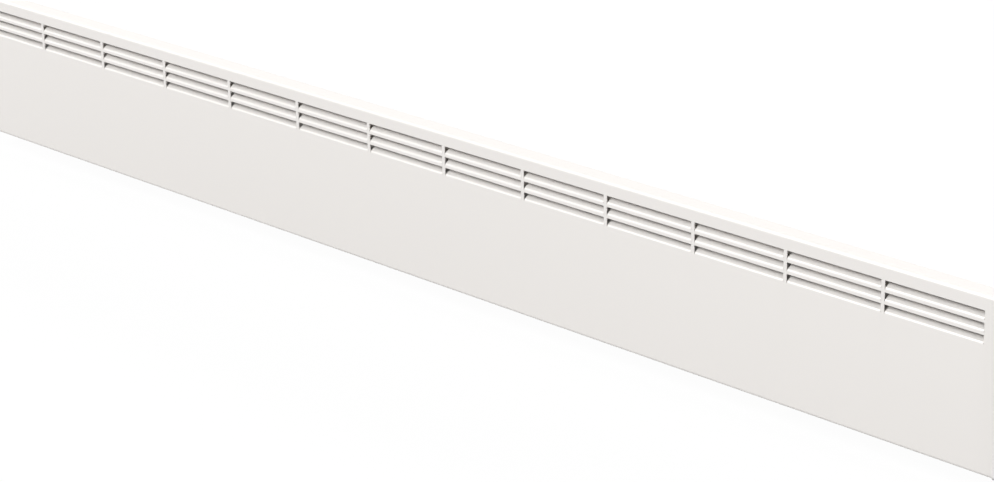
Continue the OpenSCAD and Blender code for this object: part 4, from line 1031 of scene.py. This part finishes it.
class HEATER_OT_marks(bpy.types.Operator):
    """Numbers and dots printed round the knob, and the bar and ring on the rocker's two ends."""

    bl_idname = "heater.marks"
    bl_label = "Printed marks"

    def execute(self, context):
        form = context.scene.heater_form
        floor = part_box("front_cover")[1].x + form.cap_depth - form.pocket_depth
        dial = put_mesh("dial_marks", *joined(self.dial_shapes(form, floor + INK)))
        dress(dial, "cap_plastic", material="print")
        pivot = np.array([floor + 1.0 * MM, *middle_of(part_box("switch_body"))])
        rocker = put_mesh("rocker_marks", *joined(self.rocker_shapes(pivot)))
        dress(rocker, "cap_plastic", body="rocker")
        return {"FINISHED"}

    def dial_shapes(self, form, level):
        """Figures 0 to 6, clockwise from the top, and a dot half way between each two."""
        centre = middle_of(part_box("thermostat_knob"))

        def placed(step, flat):
            angle = step * DIAL_STEP
            middle = centre + form.dial_radius * np.array([math.sin(angle), math.cos(angle)])
            return ring_at(level, middle + flat)

        figures = [lettering(text, form.dial_size) for text in "0123456"]
        dot = circle(0.35 * MM, 16)
        shapes = [(placed(k, flat), faces) for k, (flat, faces) in enumerate(figures)]
        return shapes + [(placed(k + 0.5, dot), [range(len(dot))]) for k in range(len(figures) - 1)]

    def rocker_shapes(self, pivot):
        """Bar and ring on the two halves of the rocker's face, which slope inwards from its ends. The
        whole is tilted as the rocker stands at rest."""
        def directions(lean):
            sin, cos = math.sin(lean), math.cos(lean)
            return np.array([sin, 0.0, cos]), np.array([cos, 0.0, -sin])

        fall, run = 1.4 * MM, 7.6 * MM
        tilt, slope = math.radians(8.0), math.atan2(fall, run)
        reach, height = 4.6 * MM, 2.6 * MM
        stroke, size, hole = 0.25 * MM, 1.3 * MM, 0.95 * MM
        bar = rectangle((-stroke, -size), (stroke, size))
        ring = np.concatenate([circle(hole, 32), circle(size, 32)])
        ring_faces = grid_quads(np.arange(len(ring)).reshape(2, -1), True)[:, ::-1]
        shapes = []
        for end, flat, faces in ((1, bar, [range(len(bar))]), (-1, ring, ring_faces)):
            up, out = directions(tilt + end * slope)
            middle = pivot + height * directions(tilt)[1] + end * reach * up
            shapes.append((middle + INK * out + flat[:, :1] * (0.0, 1.0, 0.0) + flat[:, 1:] * up, faces))
        return shapes


# ---- Stage ----


def floor_material(stage):
    """Matt floor: pale where it is seen, so that it keeps a faint shadow, darker where it lights the
    heater from below, plain white far off, and clear from behind."""
    material, w, shader = new_material("studio_floor", {"Roughness": 0.9, "Specular IOR Level": 0.0})
    far = w.add("ShaderNodeVectorMath", {0: w.object_coordinates()}, operation="LENGTH").outputs["Value"]
    rays = w.add("ShaderNodeLightPath").outputs
    seen = w.math("MAXIMUM", rays["Is Camera Ray"], rays["Is Glossy Ray"])
    w.feed(shader, "Base Color", w.blend(seen, tuple(stage.floor_bounce), tuple(stage.floor_color)))
    white = w.add("ShaderNodeEmission", {"Color": WHITE, "Strength": 1.0})
    near_edge, far_edge = 1.2, 3.0
    whiten = w.math("MULTIPLY", seen, w.span(far, near_edge, far_edge, stage.floor_white, 1.0))
    lit = w.add("ShaderNodeMixShader", {0: whiten, 1: shader.outputs["BSDF"], 2: white.outputs[0]})
    clear = w.add("ShaderNodeBsdfTransparent")
    side = w.add("ShaderNodeNewGeometry").outputs["Backfacing"]
    both = w.add("ShaderNodeMixShader", {0: side, 1: lit.outputs[0], 2: clear.outputs[0]})
    output = next(n for n in w.tree.nodes if n.type == "OUTPUT_MATERIAL")
    w.feed(output, "Surface", both.outputs[0])
    return material


def softbox(name, place, size, power, reflected):
    """Rectangular softbox that faces the origin."""
    lamp = bpy.data.lights.new(name, "AREA")
    lamp.shape = "RECTANGLE"
    lamp.size, lamp.size_y = size
    lamp.energy = power
    holder = bpy.data.objects.new(name, lamp)
    holder.location = place
    holder.rotation_euler = (-Vector(place)).to_track_quat("-Z", "Y").to_euler()
    holder.visible_glossy = reflected
    bpy.context.scene.collection.objects.link(holder)


def world_light(strength):
    """Even light of the given strength, seen by the camera and in reflections as white."""
    world = bpy.data.worlds.new("studio")
    bpy.context.scene.world = world
    world.use_nodes = True
    w = Wiring(world.node_tree)
    rays = w.add("ShaderNodeLightPath").outputs
    looked = w.math("MAXIMUM", rays["Is Camera Ray"], rays["Is Transmission Ray"])
    seen = w.math("MAXIMUM", looked, rays["Is Glossy Ray"])
    light = w.add("ShaderNodeBackground", {"Color": WHITE, "Strength": strength})
    white = w.add("ShaderNodeBackground", {"Color": WHITE, "Strength": 1.0})
    mixed = w.add("ShaderNodeMixShader", {0: seen, 1: light.outputs[0], 2: white.outputs[0]})
    w.feed(w.add("ShaderNodeOutputWorld"), "Surface", mixed.outputs[0])


def camera_turn(stage):
    """Rotation that looks round by the azimuth from +Y towards -X, down by the elevation, then rolls."""
    azimuth, elevation = stage.camera_azimuth, stage.camera_elevation
    ahead = Vector((
        -math.sin(azimuth) * math.cos(elevation),
        math.cos(azimuth) * math.cos(elevation),
        -math.sin(elevation),
    ))
    level = ahead.to_track_quat("-Z", "Y").to_matrix()
    return level @ Matrix.Rotation(stage.camera_roll, 3, "Z")


class HEATER_OT_stage(bpy.types.Operator):
    """Pale floor, even surround light, softboxes in front, behind and at both ends, and the camera."""

    bl_idname = "heater.stage"
    bl_label = "Stage"

    def execute(self, context):
        scene, stage = context.scene, context.scene.heater_stage
        reach = 40.0
        level = CAD_BOX[0][2] - stage.floor_gap
        corners = [(x, y, level) for x, y in rectangle((-reach, -reach), (reach, reach))]
        floor = put_mesh("studio_floor", corners, [(0, 1, 2, 3)])
        floor.data.materials.append(floor_material(stage))
        world_light(stage.sky_strength)
        for name, (place, size, power, reflected) in SOFTBOXES.items():
            softbox(name, place, size, getattr(stage, power), reflected)

        lens = bpy.data.cameras.new("camera")
        lens.sensor_fit = "HORIZONTAL"
        lens.lens = stage.focal_pixels / stage.picture_width * lens.sensor_width
        lens.clip_end = 200.0
        camera = bpy.data.objects.new("camera", lens)
        camera.location = stage.camera_place
        camera.rotation_euler = camera_turn(stage).to_euler()
        scene.collection.objects.link(camera)
        scene.camera = camera
        scene.view_settings.view_transform = "Standard"
        return {"FINISHED"}


class HEATER_PT_panel(bpy.types.Panel):
    """Lists the operators and their settings."""

    bl_idname = "HEATER_PT_panel"
    bl_label = "Plinth heater"
    bl_space_type = "VIEW_3D"
    bl_region_type = "UI"
    bl_category = "Heater"

    def draw(self, context):
        for operator in OPERATORS:
            self.layout.operator(operator.bl_idname)
        for group in GROUPS:
            settings = getattr(context.scene, group)
            for name in settings.bl_rna.properties.keys():
                if name not in {"rna_type", "name"}:
                    self.layout.prop(settings, name)


OPERATORS = [HEATER_OT_finishes, HEATER_OT_front_panel, HEATER_OT_caps, HEATER_OT_controls,
             HEATER_OT_marks, HEATER_OT_stage]
GROUPS = {"heater_form": HeaterForm, "heater_finish": HeaterFinish, "heater_stage": HeaterStage}


def register():
    for made in (*GROUPS.values(), *OPERATORS, HEATER_PT_panel):
        bpy.utils.register_class(made)
    for name, group in GROUPS.items():
        setattr(bpy.types.Scene, name, bpy.props.PointerProperty(type=group))


def unregister():
    for name in GROUPS:
        delattr(bpy.types.Scene, name)
    for made in reversed((*GROUPS.values(), *OPERATORS, HEATER_PT_panel)):
        bpy.utils.unregister_class(made)


def main():
    """Builds everything in order."""
    register()
    for operator in OPERATORS:
        group, name = operator.bl_idname.split(".")
        getattr(getattr(bpy.ops, group), name)()


if __name__ == "__main__":
    main()
